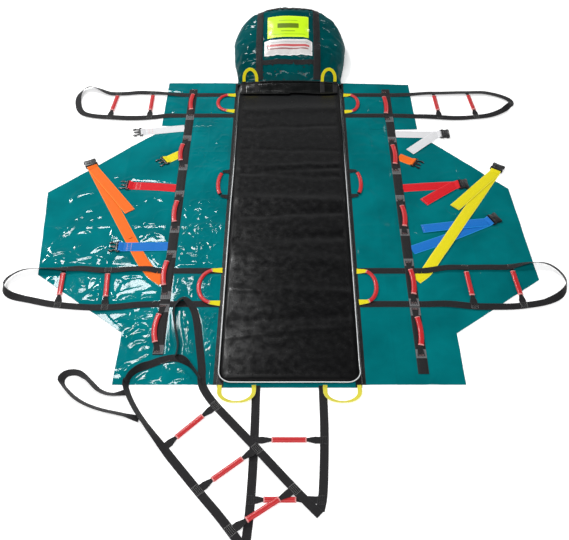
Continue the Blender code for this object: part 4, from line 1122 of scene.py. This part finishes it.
def pocket_dress(tree):
    shape = Shape()
    for x in STRAP_X:
        line = [(x, 0.752), (x, 0.90), (x * 0.99, 1.05), (x * 0.98, 1.172)]
        points, ups = draped_strap(shape, tree, line, 0.036, 0.0020, 0.0014)
        for share in (0.36, 0.97):
            i = int(share * (len(points) - 1))
            along = points[min(i + 1, len(points) - 1)] - points[i - 1]
            stitch_block("root", points[i] + ups[i] * 0.0021, along, 0.028, 0.028, "dark", ups[i])
    for y, wide in zip(CROSS_Y, (0.026, 0.024)):
        line = [(STRAP_X[0] + 0.015, y), (0.0, y - 0.003), (STRAP_X[1] - 0.015, y)]
        draped_strap(shape, tree, line, wide, 0.0016, 0.0008)
    obj = shape.build("pocket_straps", [BLACK])
    attach(obj, "root", replaces=["pocket_harness"])
    for name, (y0, y1, x0, x1), mat, slot in LABELS:
        shape = Shape()
        nx, ny = 24, 10
        for skin in (0.0016, 0.0007):
            for r in range(ny + 1):
                for c in range(nx + 1):
                    x = x0 + (x1 - x0) * c / nx
                    y = y0 + (y1 - y0) * r / ny
                    p, n = on_pocket(tree, x, y, skin)
                    shape.verts.append(p)
                    shape.uvs.append((2 * c / nx - 1, r / ny))
        close_layers(shape, ny + 1, nx + 1)
        obj = shape.build(name, [mat], 60)
        attach(obj, "root", replaces=["label_panel_" + name.split("_")[0]])


# ---------------------------------------------------------------- grips, handles and loops

def sleeve(shape, path, ups=None, width=0.020, height=0.0078, band=0.0042):
    """Round sleeve with a pale band round each end; material 0 is the sleeve, 1 the band."""
    along = shares(path)
    total = sum((b - a).length for a, b in zip(path, path[1:]))
    edge = band / total
    marks = [0.0, edge * 0.5, edge, edge * 1.01]
    marks += [t for t in along if edge * 1.5 < t < 1 - edge * 1.5]
    marks += [1 - edge * 1.01, 1 - edge, 1 - edge * 0.5, 1.0]
    points = []
    tops = []
    for t in marks:
        i = max(0, min(len(path) - 2, int(np.searchsorted(along, t, "right")) - 1))
        part = (t - along[i]) / max(along[i + 1] - along[i], 1e-9)
        points.append(path[i].lerp(path[i + 1], part))
        tops.append(ups[i] if ups else UP)
    sections = []
    mats = []
    for i in range(len(marks)):
        at_band = i < 3 or i > len(marks) - 4
        grow = 1.10 if at_band else 1.0
        if i in (0, len(marks) - 1):
            grow = 0.98
        sections.append(round_section(width * grow, height * grow))
        mats.append(1 if i < 2 or i >= len(marks) - 3 else 0)
    shape.sweep(points, sections, tops, mats)


def part_of(path, start, end):
    along = shares(path)
    return [p.copy() for p, t in zip(path, along) if start - 1e-6 <= t <= end + 1e-6]


def carry_handle(side, number, far_y, near_y, hinge_x, bow):
    s = SIDES[side]
    body = f"carry_handle_{side}_{number}"
    wing = side + "_wing"
    path = []
    for i in range(41):
        t = i / 40
        out = math.sin(math.pi * t) ** 0.75 if 0 < t < 1 else 0.0
        path.append(Vector((s * (hinge_x + 0.0103 + bow * out), far_y + (near_y - far_y) * t,
                            GRIP_Z + 0.0002)))
    grip = Shape()
    sleeve(grip, part_of(path, 0.07, 0.93), None, 0.0205, 0.0080)
    obj = grip.build(body + "_sleeve", [SLEEVE, BAND], 50)
    attach(obj, body, replaces=[body])
    for end, name in ((0, "far"), (-1, "near")):
        way = 1 if end == 0 else -1
        tip = path[end]
        inner = path[4 if end == 0 else -5]
        root_x = (hinge_x + 0.0103 + CARRY_X) / 2
        root = Vector((s * root_x, tip.y + way * 0.034, GRIP_Z - 0.0001))
        mid = Vector((s * (root_x + 0.3 * (abs(tip.x) - root_x)), tip.y + way * 0.012, GRIP_Z))
        tab = Shape()
        points = [root, mid, tip + UP * 0.0006, inner + UP * 0.0028]
        ribbon(tab, points, 0.020, 0.0016, step=0.004,
               widths=[(0, 0.028), (0.45, 0.022), (1, 0.017)])
        obj = tab.build(f"{body}_{name}_web", [BLACK])
        attach(obj, blend=(wing, body, tuple(root - Vector((0, way * 0.014, 0))),
                                            (root.x, inner.y, root.z)))
        for row in (0.002, 0.007):
            y = tip.y + way * (0.034 - row)
            stitch(wing, Vector((root.x - 0.011, y, GRIP_Z + 0.0016)),
                   Vector((root.x + 0.011, y, GRIP_Z + 0.0016)), "pale")


def side_handle(side, number, far_y, near_y, reach):
    s = SIDES[side]
    body = f"side_handle_{side}_{number}"
    wing = side + "_wing"
    middle = (far_y + near_y) / 2
    half = (far_y - near_y) / 2 - 0.009
    start = 0.2808
    tab = 0.25 * reach
    path = []
    for i in range(41):
        angle = math.radians(90 - 180 * i / 40)
        path.append(Vector((s * (start + tab + (reach - tab - 0.009) * math.cos(angle)),
                            middle + half * math.sin(angle), GRIP_Z + 0.0002)))
    dark = number == 2
    keep = (0.10, 0.90) if dark else (0.04, 0.96)
    grip = Shape()
    sleeve(grip, part_of(path, *keep), None, 0.0165, 0.0072, 0.004)
    obj = grip.build(body + "_sleeve", [SLEEVE, BAND if not dark else BLACK], 50)
    attach(obj, body, replaces=[body])
    tabs = Shape()
    for far in (1, -1):
        ends = path if far == 1 else path[::-1]
        y = middle + far * half
        points = [(s * 0.2730, y + far * 0.001, GRIP_Z - 0.0004),
                  (s * (start + tab * 0.45), y, GRIP_Z + 0.0004),
                  tuple(ends[2] + UP * 0.0022), tuple(ends[5] + UP * 0.0030)]
        ribbon(tabs, points, 0.022, 0.0018, step=0.003,
               widths=[(0, 0.027), (0.5, 0.021), (1, 0.0145)])
    mat, slot = (BLACK, "webbing_black") if dark else (WEB["yellow"], "webbing_yellow")
    obj = tabs.build(body + "_tabs", [mat])
    attach(obj, blend=(wing, body, (s * 0.2765, 0, 0), (s * 0.2868, 0, 0)))


def arc_points(span, reach, width, steps=24):
    half = (span - width) / 2
    points = []
    for i in range(steps + 1):
        angle = math.radians(180 - 180 * i / steps)
        points.append((half * math.cos(angle),
                       0.25 * reach + (0.75 * reach - width / 2) * math.sin(angle)))
    return [(-half, 0.0)] + points + [(half, 0.0)]


def end_loops():
    for side, s in SIDES.items():
        body = "end_loop_" + side
        points = [(s * 0.190 - 0.0615, -1.0035, 0.0041)]
        for x, y in arc_points(0.140, 0.070, 0.016):
            points.append((s * 0.190 + x, -1.0135 - y, 0.0042))
        points.append((s * 0.190 + 0.0615, -1.0035, 0.0041))
        shape = Shape()
        ribbon(shape, points, 0.016, 0.0019, [(0, 0), (0.16, -12), (0.5, -42), (0.84, -12), (1, 0)],
               step=0.006)
        obj = shape.build(body + "_web", [SOFT_YELLOW])
        attach(obj, replaces=[body],
               blend=("root", body, (0, -1.0100, 0), (0, -1.0230, 0)))
        body = "pocket_loop_" + side
        hinge = Vector((s * 0.198, 0.7410, 0.051))
        c, d = math.cos(math.radians(60)), math.sin(math.radians(60))
        path = [hinge + Vector((x, y * c, y * d)) for x, y in arc_points(0.080, 0.072, 0.016)]
        ups = [Vector((0, -d, c))] * len(path)
        shape = Shape()
        shape.sweep(path, [flat(0.0155, 0.0020)] * len(path), ups)
        obj = shape.build(body + "_web", [WEB["yellow"]])
        attach(obj, body, replaces=[body])
        feet = Shape()
        for x in (-0.032, 0.032):
            px = hinge.x + x
            line = [hinge + Vector((x, 0.0005, 0.0035))]
            for y in (0.7345, 0.724, 0.710, 0.696, 0.684):
                line.append(Vector((px, y, flap_height(px, y) + 0.0002)))
            feet.sweep(line, [flat(0.022, 0.0012)] * len(line), [Vector((0, -0.5, 1))] * len(line))
        obj = feet.build(f"pocket_loop_{side}_feet", [BLACK])
        attach(obj, "root")


# ---------------------------------------------------------------- webbing harness

STITCH_Y = {"left": (0.520, 0.362, 0.156, -0.018, -0.235, -0.375, -0.592, -0.655, -0.849),
            "right": (0.504, 0.352, 0.129, -0.046, -0.252, -0.420, -0.628, -0.672, -0.868)}


def carry_harness():
    for side, s in SIDES.items():
        wing = side + "_wing"
        near = -0.872 if side == "left" else -0.955
        shape = Shape()
        ribbon(shape, [(s * CARRY_X, 0.745, 0.0020), (s * (CARRY_X + 0.001), 0.2, 0.0020),
                       (s * CARRY_X, -0.3, 0.0020), (s * CARRY_X, near, 0.0020)], 0.040, 0.0019)
        # doubled patches where the grips are sewn on
        for y in STITCH_Y[side]:
            ribbon(shape, [(s * CARRY_X, y + 0.020, 0.0039), (s * CARRY_X, y - 0.020, 0.0039)],
                   0.0385, 0.0006, mat=1)
            stitch_block(wing, Vector((s * CARRY_X, y, 0.0046)), Vector((0, 1, 0)), 0.033, 0.032)
        obj = shape.build("carry_strap_" + side, [BLACK, PATCH])
        attach(obj, wing, replaces=["carry_harness_" + side])
        stubs = Shape()
        for y in RAILS:
            ribbon(stubs, [(s * 0.2725, y, 0.0017), (s * 0.40, y + 0.001, 0.0017),
                           (s * 0.5368, y, 0.0017)], RAIL_W, 0.0017)
            for x in (CARRY_X - 0.028, CARRY_X + 0.028):
                stitch(wing, Vector((s * x, y - 0.012, 0.0036)), Vector((s * x, y + 0.012, 0.0036)),
                       "dark")
        attach(stubs.build("rail_stubs_" + side, [BLACK]), wing)


def rung(webs, grips, a, b, lo, hi, gusset=0.028, far_short=True, body=None):
    """Webbing rung with leaf-shaped ends and a sleeve between shares lo and hi."""
    a = Vector(a)
    b = Vector(b)
    lift = UP * 0.0030
    line = [a, a.lerp(b, lo * 0.5) + lift * 0.3, a.lerp(b, lo) + lift, a.lerp(b, hi) + lift,
            b.lerp(a, (1 - hi) * 0.5) + lift * 0.3, b]
    first = 0.016 if far_short else gusset
    ribbon(webs, line, 0.02, 0.0020, step=0.006,
           widths=[(0, gusset * 0.8), (lo * 0.45, first), (lo, 0.013), (hi, 0.013),
                   (hi + (1 - hi) * 0.50, gusset), (1, gusset * 0.9)])
    core = [a.lerp(b, lo + (hi - lo) * k / 12) + UP * 0.0003 for k in range(13)]
    sleeve(grips, core, None, 0.0200, 0.0086)


LADDER_TWIST = {
    "left_upper": [(0, 0), (0.06, 12), (0.16, 0), (0.30, 4), (0.37, 36), (0.44, 44), (0.50, 8),
                   (0.60, 0), (0.80, 10), (1, 0)],
    "right_upper": [(0, 0), (0.10, -10), (0.30, -14), (0.42, -6), (0.49, -4), (0.525, -55),
                    (0.56, -8), (0.70, 0), (0.85, -8), (1, 0)],
    "left_lower": [(0, 0), (0.08, 14), (0.16, 0), (0.27, 8), (0.34, 44), (0.46, 56), (0.505, 76),
                   (0.55, 30), (0.60, 4), (1, 0)],
    "right_lower": [(0, 0), (0.12, -10), (0.28, -6), (0.36, -46), (0.46, -62), (0.52, -76),
                    (0.57, -26), (0.62, 0), (0.85, -6), (1, 0)],
}
# loops of the drag ladder stand on their edges where they turn
FOLD_LEFT_TWIST = [(0, 0), (0.52, 0), (0.63, 30), (0.73, 46), (0.95, 50), (1, 46)]
FOLD_LOOP_TWIST = [(0, 0), (0.07, 40), (0.26, 46), (0.35, 8), (0.43, -14), (0.50, -64), (0.62, -50),
                   (0.92, -42), (1, -10)]
CROSS_TWIST = [(0, 72), (0.16, 62), (0.32, 12), (0.58, 4), (0.68, 40), (0.80, 82), (1, 86)]
WING_LOOP_TWIST = [(0, 4), (0.42, 0), (0.54, 16), (0.62, 48), (0.72, 74), (0.9, 76), (1, 66)]


def side_ladders():
    for key, route in LADDERS.items():
        side = key.split("_")[0]
        s = SIDES[side]
        body = "ladder_" + key
        levels = (0.0019, 0.0037)
        rails = Shape()
        ribbon(rails, [(x, y, levels[k]) for x, y, k in route], RAIL_W, WEB_T, LADDER_TWIST[key],
               0.0016, len(key) + s)
        obj = rails.build(body + "_rails", [BLACK])
        attach(obj, replaces=[body],
               blend=(side + "_wing", body, (s * 0.5372, 0, 0), (s * 0.5480, 0, 0)))
        webs = Shape()
        grips = Shape()
        for (ax, ay), (bx, by) in RUNGS[key]:
            a = Vector((ax, ay, 0.0052))
            b = Vector((bx, by, 0.0052))
            rung(webs, grips, a, b, 0.13, 0.74)
            for end, other in ((a, b), (b, a)):
                stitch_block(body, end + UP * 0.0030, Vector((1, 0, 0)), 0.026, 0.024)
        attach(webs.build(body + "_rungs", [BLACK]), body)
        attach(grips.build(body + "_sleeves", [SLEEVE, BAND], 50), body)


def drag_ladder():
    wing = "left_wing"
    webs = Shape()
    grips = Shape()
    for route, seed in ((BASE_LEFT, 1.0), (BASE_RIGHT, 2.0)):
        ribbon(webs, route, RAIL_W, WEB_T, wave=0.0010, seed=seed)
    for (ax, ay), (bx, by), lo, hi in BASE_RUNGS:
        a = Vector((ax, ay, 0.0022))
        b = Vector((bx, by, 0.0022))
        rung(webs, grips, a, b, lo, hi, 0.027, False)
        for end in (a, b):
            stitch_block("root", end + UP * 0.0026, Vector((0, 1, 0)), 0.030, 0.024, "dark")
    attach(webs.build("drag_base_webbing", [BLACK]), "root",
           replaces=["drag_ladder_base"])
    attach(grips.build("drag_base_sleeves", [SLEEVE, BAND], 50), "root")

    long_blend = ("root", wing, (-0.300, -1.400, 0.0), (-0.589, -1.012, 0.0))
    short_blend = ("root", wing, (-0.270, -1.075, 0.0), (-0.311, -1.012, 0.0))
    left = Shape()
    ribbon(left, FOLD_LEFT, RAIL_W, WEB_T, FOLD_LEFT_TWIST, 0.0008, 3.0)
    ribbon(left, FOLD_LOOP, RAIL_W * 0.97, 0.0022, FOLD_LOOP_TWIST)
    left_grips = Shape()
    fixed = Shape()
    fixed_grips = Shape()
    for number, (a, b) in enumerate(FOLD_RUNGS):
        webs, grips = (left, left_grips) if number == 0 else (fixed, fixed_grips)
        rung(webs, grips, a, b, 0.25, 0.76, 0.028, False)
    attach(left.build("drag_fold_left_rail", [BLACK]), blend=long_blend,
           replaces=["drag_ladder_folded"])
    attach(left_grips.build("drag_fold_sleeve_1", [SLEEVE, BAND], 50),
           blend=long_blend)
    right = Shape()
    ribbon(right, FOLD_RIGHT, RAIL_W, WEB_T, wave=0.0008, seed=4.0)
    attach(right.build("drag_fold_right_rail", [BLACK]), blend=short_blend)
    attach(fixed.build("drag_fold_rungs", [BLACK]), "root")
    attach(fixed_grips.build("drag_fold_sleeves", [SLEEVE, BAND], 50), "root")
    along_right = Vector((0.66, -0.75, 0))
    along_left = Vector((0.64, -0.77, 0))
    for number, (a, b) in enumerate(FOLD_RUNGS):
        stitch_block("root", Vector(a) + UP * 0.0028, along_right, 0.036, 0.024)
        if number:
            stitch_block("root", Vector(b) + UP * 0.0048, along_left, 0.036, 0.024)

    shape = Shape()
    levels = (0.0020, 0.0042)
    ribbon(shape, [(x, y, levels[k]) for x, y, k in WING_CROSS], RAIL_W, WEB_T, CROSS_TWIST)
    ribbon(shape, [(x, y, levels[k]) for x, y, k in WING_LOOP], RAIL_W * 0.95, 0.0019,
           WING_LOOP_TWIST)
    attach(shape.build("drag_loop_webbing", [BLACK]), wing,
           replaces=["drag_ladder_loops"])
    stitch_block(wing, Vector((-0.462, -0.894, 0.0044)), Vector((-0.9, -0.40, 0)), 0.034, 0.024)


# ---------------------------------------------------------------- patient belts

def plate(shape, outline, z0, z1, bevel=0.0010):
    """Rounded plate from a plan outline, added to the shape."""
    bm = bmesh.new()
    low = [bm.verts.new((x, y, z0)) for x, y in outline]
    grown = bmesh.ops.extrude_face_region(bm, geom=[bm.faces.new(low)])
    raised = [v for v in grown["geom"] if isinstance(v, bmesh.types.BMVert)]
    bmesh.ops.translate(bm, verts=raised, vec=(0.0, 0.0, z1 - z0))
    bmesh.ops.bevel(bm, geom=bm.edges[:], offset=bevel, segments=2, profile=0.6, affect="EDGES",
                    clamp_overlap=True)
    first = len(shape.verts)
    bm.verts.ensure_lookup_table()
    for v in bm.verts:
        shape.verts.append(v.co.copy())
        shape.uvs.append((v.co.x, v.co.y))
    for face in bm.faces:
        shape.faces.append(tuple(first + v.index for v in face.verts))
        shape.mats.append(0)
    bm.free()


def mirrored(half):
    return half + [(x, -y) for x, y in reversed(half)]


def buckle_shape(female):
    """Half of a side-release buckle: webbing bar at x = 0, catch end at x = 0.046."""
    shape = Shape()
    for y in (-0.0270, 0.0270):                 # side posts of the webbing slot
        plate(shape, [(0.0, y - 0.0020), (0.013, y - 0.0020), (0.013, y + 0.0020),
                      (0.0, y + 0.0020)], 0.0006, 0.0066)
    plate(shape, [(0.0, -0.028), (0.0042, -0.028), (0.0042, 0.028), (0.0, 0.028)], 0.001, 0.0066)
    if female:
        for z0, z1 in ((0.0, 0.0030), (0.0070, 0.0100)):
            plate(shape, mirrored([(0.0098, -0.0290), (0.0150, -0.0290), (0.0185, -0.0250),
                                   (0.0300, -0.0250), (0.0340, -0.0290), (0.0440, -0.0280),
                                   (0.0460, -0.0200), (0.0440, -0.0060)]), z0, z1, 0.0009)
        for y in (-0.0262, 0.0262):
            for x0, x1 in ((0.0098, 0.0160), (0.0335, 0.0435)):
                plate(shape, [(x0, y - 0.0022), (x1, y - 0.0022), (x1, y + 0.0022),
                              (x0, y + 0.0022)], 0.0010, 0.0090)
        for x in (0.0215, 0.0245, 0.0275):
            plate(shape, [(x, -0.0140), (x + 0.0014, -0.0140), (x + 0.0014, 0.0140),
                          (x, 0.0140)], 0.0096, 0.0106, 0.0004)
        plate(shape, [(0.010, -0.012), (0.020, -0.012), (0.020, 0.012), (0.010, 0.012)],
              0.0020, 0.0080)
    else:
        plate(shape, mirrored([(0.0098, -0.0290), (0.0140, -0.0290), (0.0165, -0.0200)]),
              0.0004, 0.0070)
        plate(shape, mirrored([(0.0150, -0.0062), (0.0300, -0.0050), (0.0405, -0.0028)]),
              0.0018, 0.0056, 0.0008)
        for s in (-1, 1):
            arm = [(0.0140, s * 0.0155), (0.0200, s * 0.0150), (0.0300, s * 0.0190),
                   (0.0400, s * 0.0170), (0.0455, s * 0.0175), (0.0460, s * 0.0215),
                   (0.0390, s * 0.0270), (0.0310, s * 0.0272), (0.0270, s * 0.0228),
                   (0.0200, s * 0.0205), (0.0140, s * 0.0215)]
            plate(shape, arm, 0.0008, 0.0062, 0.0009)
    return shape


def placed(shape, origin, angle):
    moved = Shape()
    c = math.cos(angle)
    s = math.sin(angle)
    moved.verts = [Vector((v.x * c - v.y * s, v.x * s + v.y * c, v.z)) + origin
                   for v in shape.verts]
    moved.faces = shape.faces
    moved.uvs = shape.uvs
    moved.mats = shape.mats
    return moved


def belt_level(path, x, y):
    """Top of the belt's run under a point of its tail."""
    best = min(range(len(path)), key=lambda i: math.hypot(path[i].x - x, path[i].y - y))
    return path[best].z + BELT_T


def belts():
    halves = {True: buckle_shape(True), False: buckle_shape(False)}
    for key, (colour, run, tail) in BELTS.items():
        side = key.split("_")[0]
        s = SIDES[side]
        wing = side + "_wing"
        belt = "belt_" + key
        fixed = key == "right_blue"
        z = BELT_Z.get(key, [RAIL_Z + 0.0001] * len(run))
        points = [Vector((x, y, h)) for (x, y), h in zip(run, z)]
        heading = (points[-1] - points[-2])
        heading.z = 0.0
        heading.normalize()
        root = (points[1] - points[0])
        root.z = 0.0
        root.normalize()
        back = points[0].copy()
        if abs(abs(back.x) - BELT_X) < 0.001:
            back = back - root * 0.0016
        end = points[-1]
        shape = Shape()
        path = ribbon(shape, [back] + ([points[0] + root * 0.014] if len(points) > 2 else [])
                      + points[1:], BELT_W - 0.002, BELT_T, step=0.008, wave=0.0)
        # the webbing wraps round the buckle's bar
        wrap = [end - heading * 0.012 + UP * 0.0016, end - heading * 0.001 + UP * 0.0062,
                end + heading * 0.0030 + UP * 0.0078, end + heading * 0.0066 + UP * 0.0050,
                end + heading * 0.0060 + UP * 0.0014]
        ribbon(shape, wrap, BELT_W - 0.003, 0.0012, step=0.002)
        if tail:
            start = end - heading * 0.014
            finish = Vector((*tail, 0.0))
            line = []
            for i in range(9):
                p = start.lerp(finish, i / 8)
                p.z = belt_level(path, p.x, p.y) + 0.0004 + 0.0016 * math.sin(math.pi * i / 8)
                line.append(p)
            ribbon(shape, line, BELT_W - 0.003, BELT_T, step=0.010)
            cut = (finish - start).normalized()
            for gap in (0.004, 0.008):
                p = line[-1] - cut * gap + UP * (BELT_T + 0.0001)
                w = cut.cross(UP) * 0.021
                stitch(belt if not fixed else wing, p - w, p + w, "pale" if colour in
                       ("red", "orange") else "grey")
        else:
            for gap in (0.010, 0.026, 0.030, 0.046):
                p = end - heading * gap + UP * (BELT_T + 0.0001)
                w = heading.cross(UP) * 0.021
                if gap < (end - back).length - 0.022:
                    stitch(belt, p - w, p + w, "pale")
            if (end - back).length > 0.08:
                stitch_block(belt, end - heading * 0.038 + UP * (BELT_T + 0.0001), heading, 0.018,
                             0.040, "pale")
        obj = shape.build(belt + "_web", [WEB[colour]])
        if fixed:
            attach(obj, wing, replaces=[belt])
        else:
            attach(obj, blend=(wing, belt, tuple(points[0]), tuple(points[0] + root * 0.012)),
                   replaces=[belt])
        if key in ROOTS:
            lower = Shape()
            level = RAIL_Z - 0.0001
            top = BELT_Z.get(key, [level])[0]
            line = [(x, y, level) for x, y in ROOTS[key]]
            line[-1] = (*ROOTS[key][-1], top)
            ribbon(lower, line, BELT_W - 0.002, BELT_T, step=0.008)
            attach(lower.build(belt + "_root", [WEB[colour]]), wing)
        half = halves[tail is not None]
        angle = math.atan2(heading.y, heading.x)
        obj = placed(half, end + heading * 0.0006 + UP * 0.0001, angle).build(
            f"buckle_{key}_moulding", [NYLON], 35)
        attach(obj, wing if fixed else belt, replaces=["buckle_" + key])


def sew():
    """One piece for each body's stitching."""
    threads = {"grey": (GREY_THREAD, "webbing_white"), "pale": (PALE_THREAD, "webbing_white"),
               "dark": (DARK_THREAD, "webbing_black")}
    for (body, thread), shape in STITCHES.items():
        mat, slot = threads[thread]
        attach(shape.build(f"stitching_{body}_{thread}", [mat], 0), body)


# ---------------------------------------------------------------- studio

FLOOR_Z = -0.0006
FLOOR_ALBEDO = 0.90
FLOOR_GLOW = 0.34                       # keeps the ground white under the object
SKY_STRENGTH = 0.62
SKY_STOPS = ((0.42, 1.0), (0.60, 0.42), (0.76, 0.13), (1.0, 0.05))      # height, brightness
SKY_TINT = (0.98, 0.99, 1.0)
# name, place, aim, size, watts
SOFTBOXES = (
    ("key", (-1.3, -2.9, 4.6), (0.0, -0.2, 0.0), (2.0, 1.4), 148),
    ("fill", (1.5, -2.6, 4.2), (0.1, 0.0, 0.0), (1.6, 1.2), 46),
    ("back_left", (-3.4, 3.3, 3.4), (-0.7, -0.2, 0.0), (0.6, 0.4), 80),
    ("high_left", (-1.75, 2.5, 4.2), (-0.4, -0.4, 0.0), (0.9, 0.70), 105),
    ("back_right", (2.6, 4.6, 3.0), (0.2, 0.8, 0.0), (0.5, 0.3), 14),
)


def studio():
    scene = bpy.context.scene
    scene.view_settings.view_transform = "Standard"
    data = bpy.data.cameras.new("camera")
    camera = bpy.data.objects.new("camera", data)
    scene.collection.objects.link(camera)
    camera.location = (0.0, -2.4056, 2.3212)
    camera.rotation_euler = (math.radians(40.0), 0.0, 0.0)
    data.sensor_width = 36.0
    data.lens = 46.98
    data.shift_x = -0.0088
    scene.camera = camera

    mesh = bpy.data.meshes.new("studio_floor")
    corners = [(-9, -8, FLOOR_Z), (9, -8, FLOOR_Z), (9, 12, FLOOR_Z), (-9, 12, FLOOR_Z)]
    mesh.from_pydata(corners, [], [(0, 1, 2, 3)])
    floor = bpy.data.objects.new("studio_floor", mesh)
    scene.collection.objects.link(floor)
    paint = Paint("pale_floor", 0.9, 0.0)
    paint.colour((FLOOR_ALBEDO, FLOOR_ALBEDO, FLOOR_ALBEDO, 1.0))
    paint.shader.inputs["Emission Color"].default_value = (1.0, 1.0, 1.0, 1.0)
    paint.shader.inputs["Emission Strength"].default_value = FLOOR_GLOW
    mesh.materials.append(paint.mat)

    world = bpy.data.worlds.new("studio")
    scene.world = world
    world.use_nodes = True
    nodes = world.node_tree.nodes
    links = world.node_tree.links
    coord = nodes.new("ShaderNodeTexCoord")
    split = nodes.new("ShaderNodeSeparateXYZ")
    links.new(coord.outputs["Generated"], split.inputs[0])
    ramp = nodes.new("ShaderNodeValToRGB")
    for _ in SKY_STOPS[2:]:
        ramp.color_ramp.elements.new(0.5)
    for element, (position, level) in zip(ramp.color_ramp.elements, SKY_STOPS):
        element.position = position
        element.color = (*(level * tint for tint in SKY_TINT), 1.0)
    links.new(split.outputs[2], ramp.inputs[0])
    links.new(ramp.outputs["Color"], nodes["Background"].inputs["Color"])
    nodes["Background"].inputs["Strength"].default_value = SKY_STRENGTH

    for name, place, aim, size, power in SOFTBOXES:
        light = bpy.data.lights.new(name, "AREA")
        light.shape = "RECTANGLE"
        light.size, light.size_y = size
        light.energy = power
        obj = bpy.data.objects.new(name, light)
        scene.collection.objects.link(obj)
        obj.location = place
        obj.rotation_euler = (Vector(aim) - Vector(place)).to_track_quat("-Z", "Y").to_euler()


centre_sheet()
wing_sheet("left")
wing_sheet("right")
mattress()
pouch = pocket()
pocket_dress(pouch)
mouth_flap()
carry_harness()
for side_name in SIDES:
    for number, grip in enumerate(CARRY_GRIPS[side_name], 1):
        carry_handle(side_name, number, *grip)
    for number, loop in enumerate(SIDE_LOOPS[side_name], 1):
        side_handle(side_name, number, *loop)
end_loops()
side_ladders()
drag_ladder()
belts()
sew()
studio()
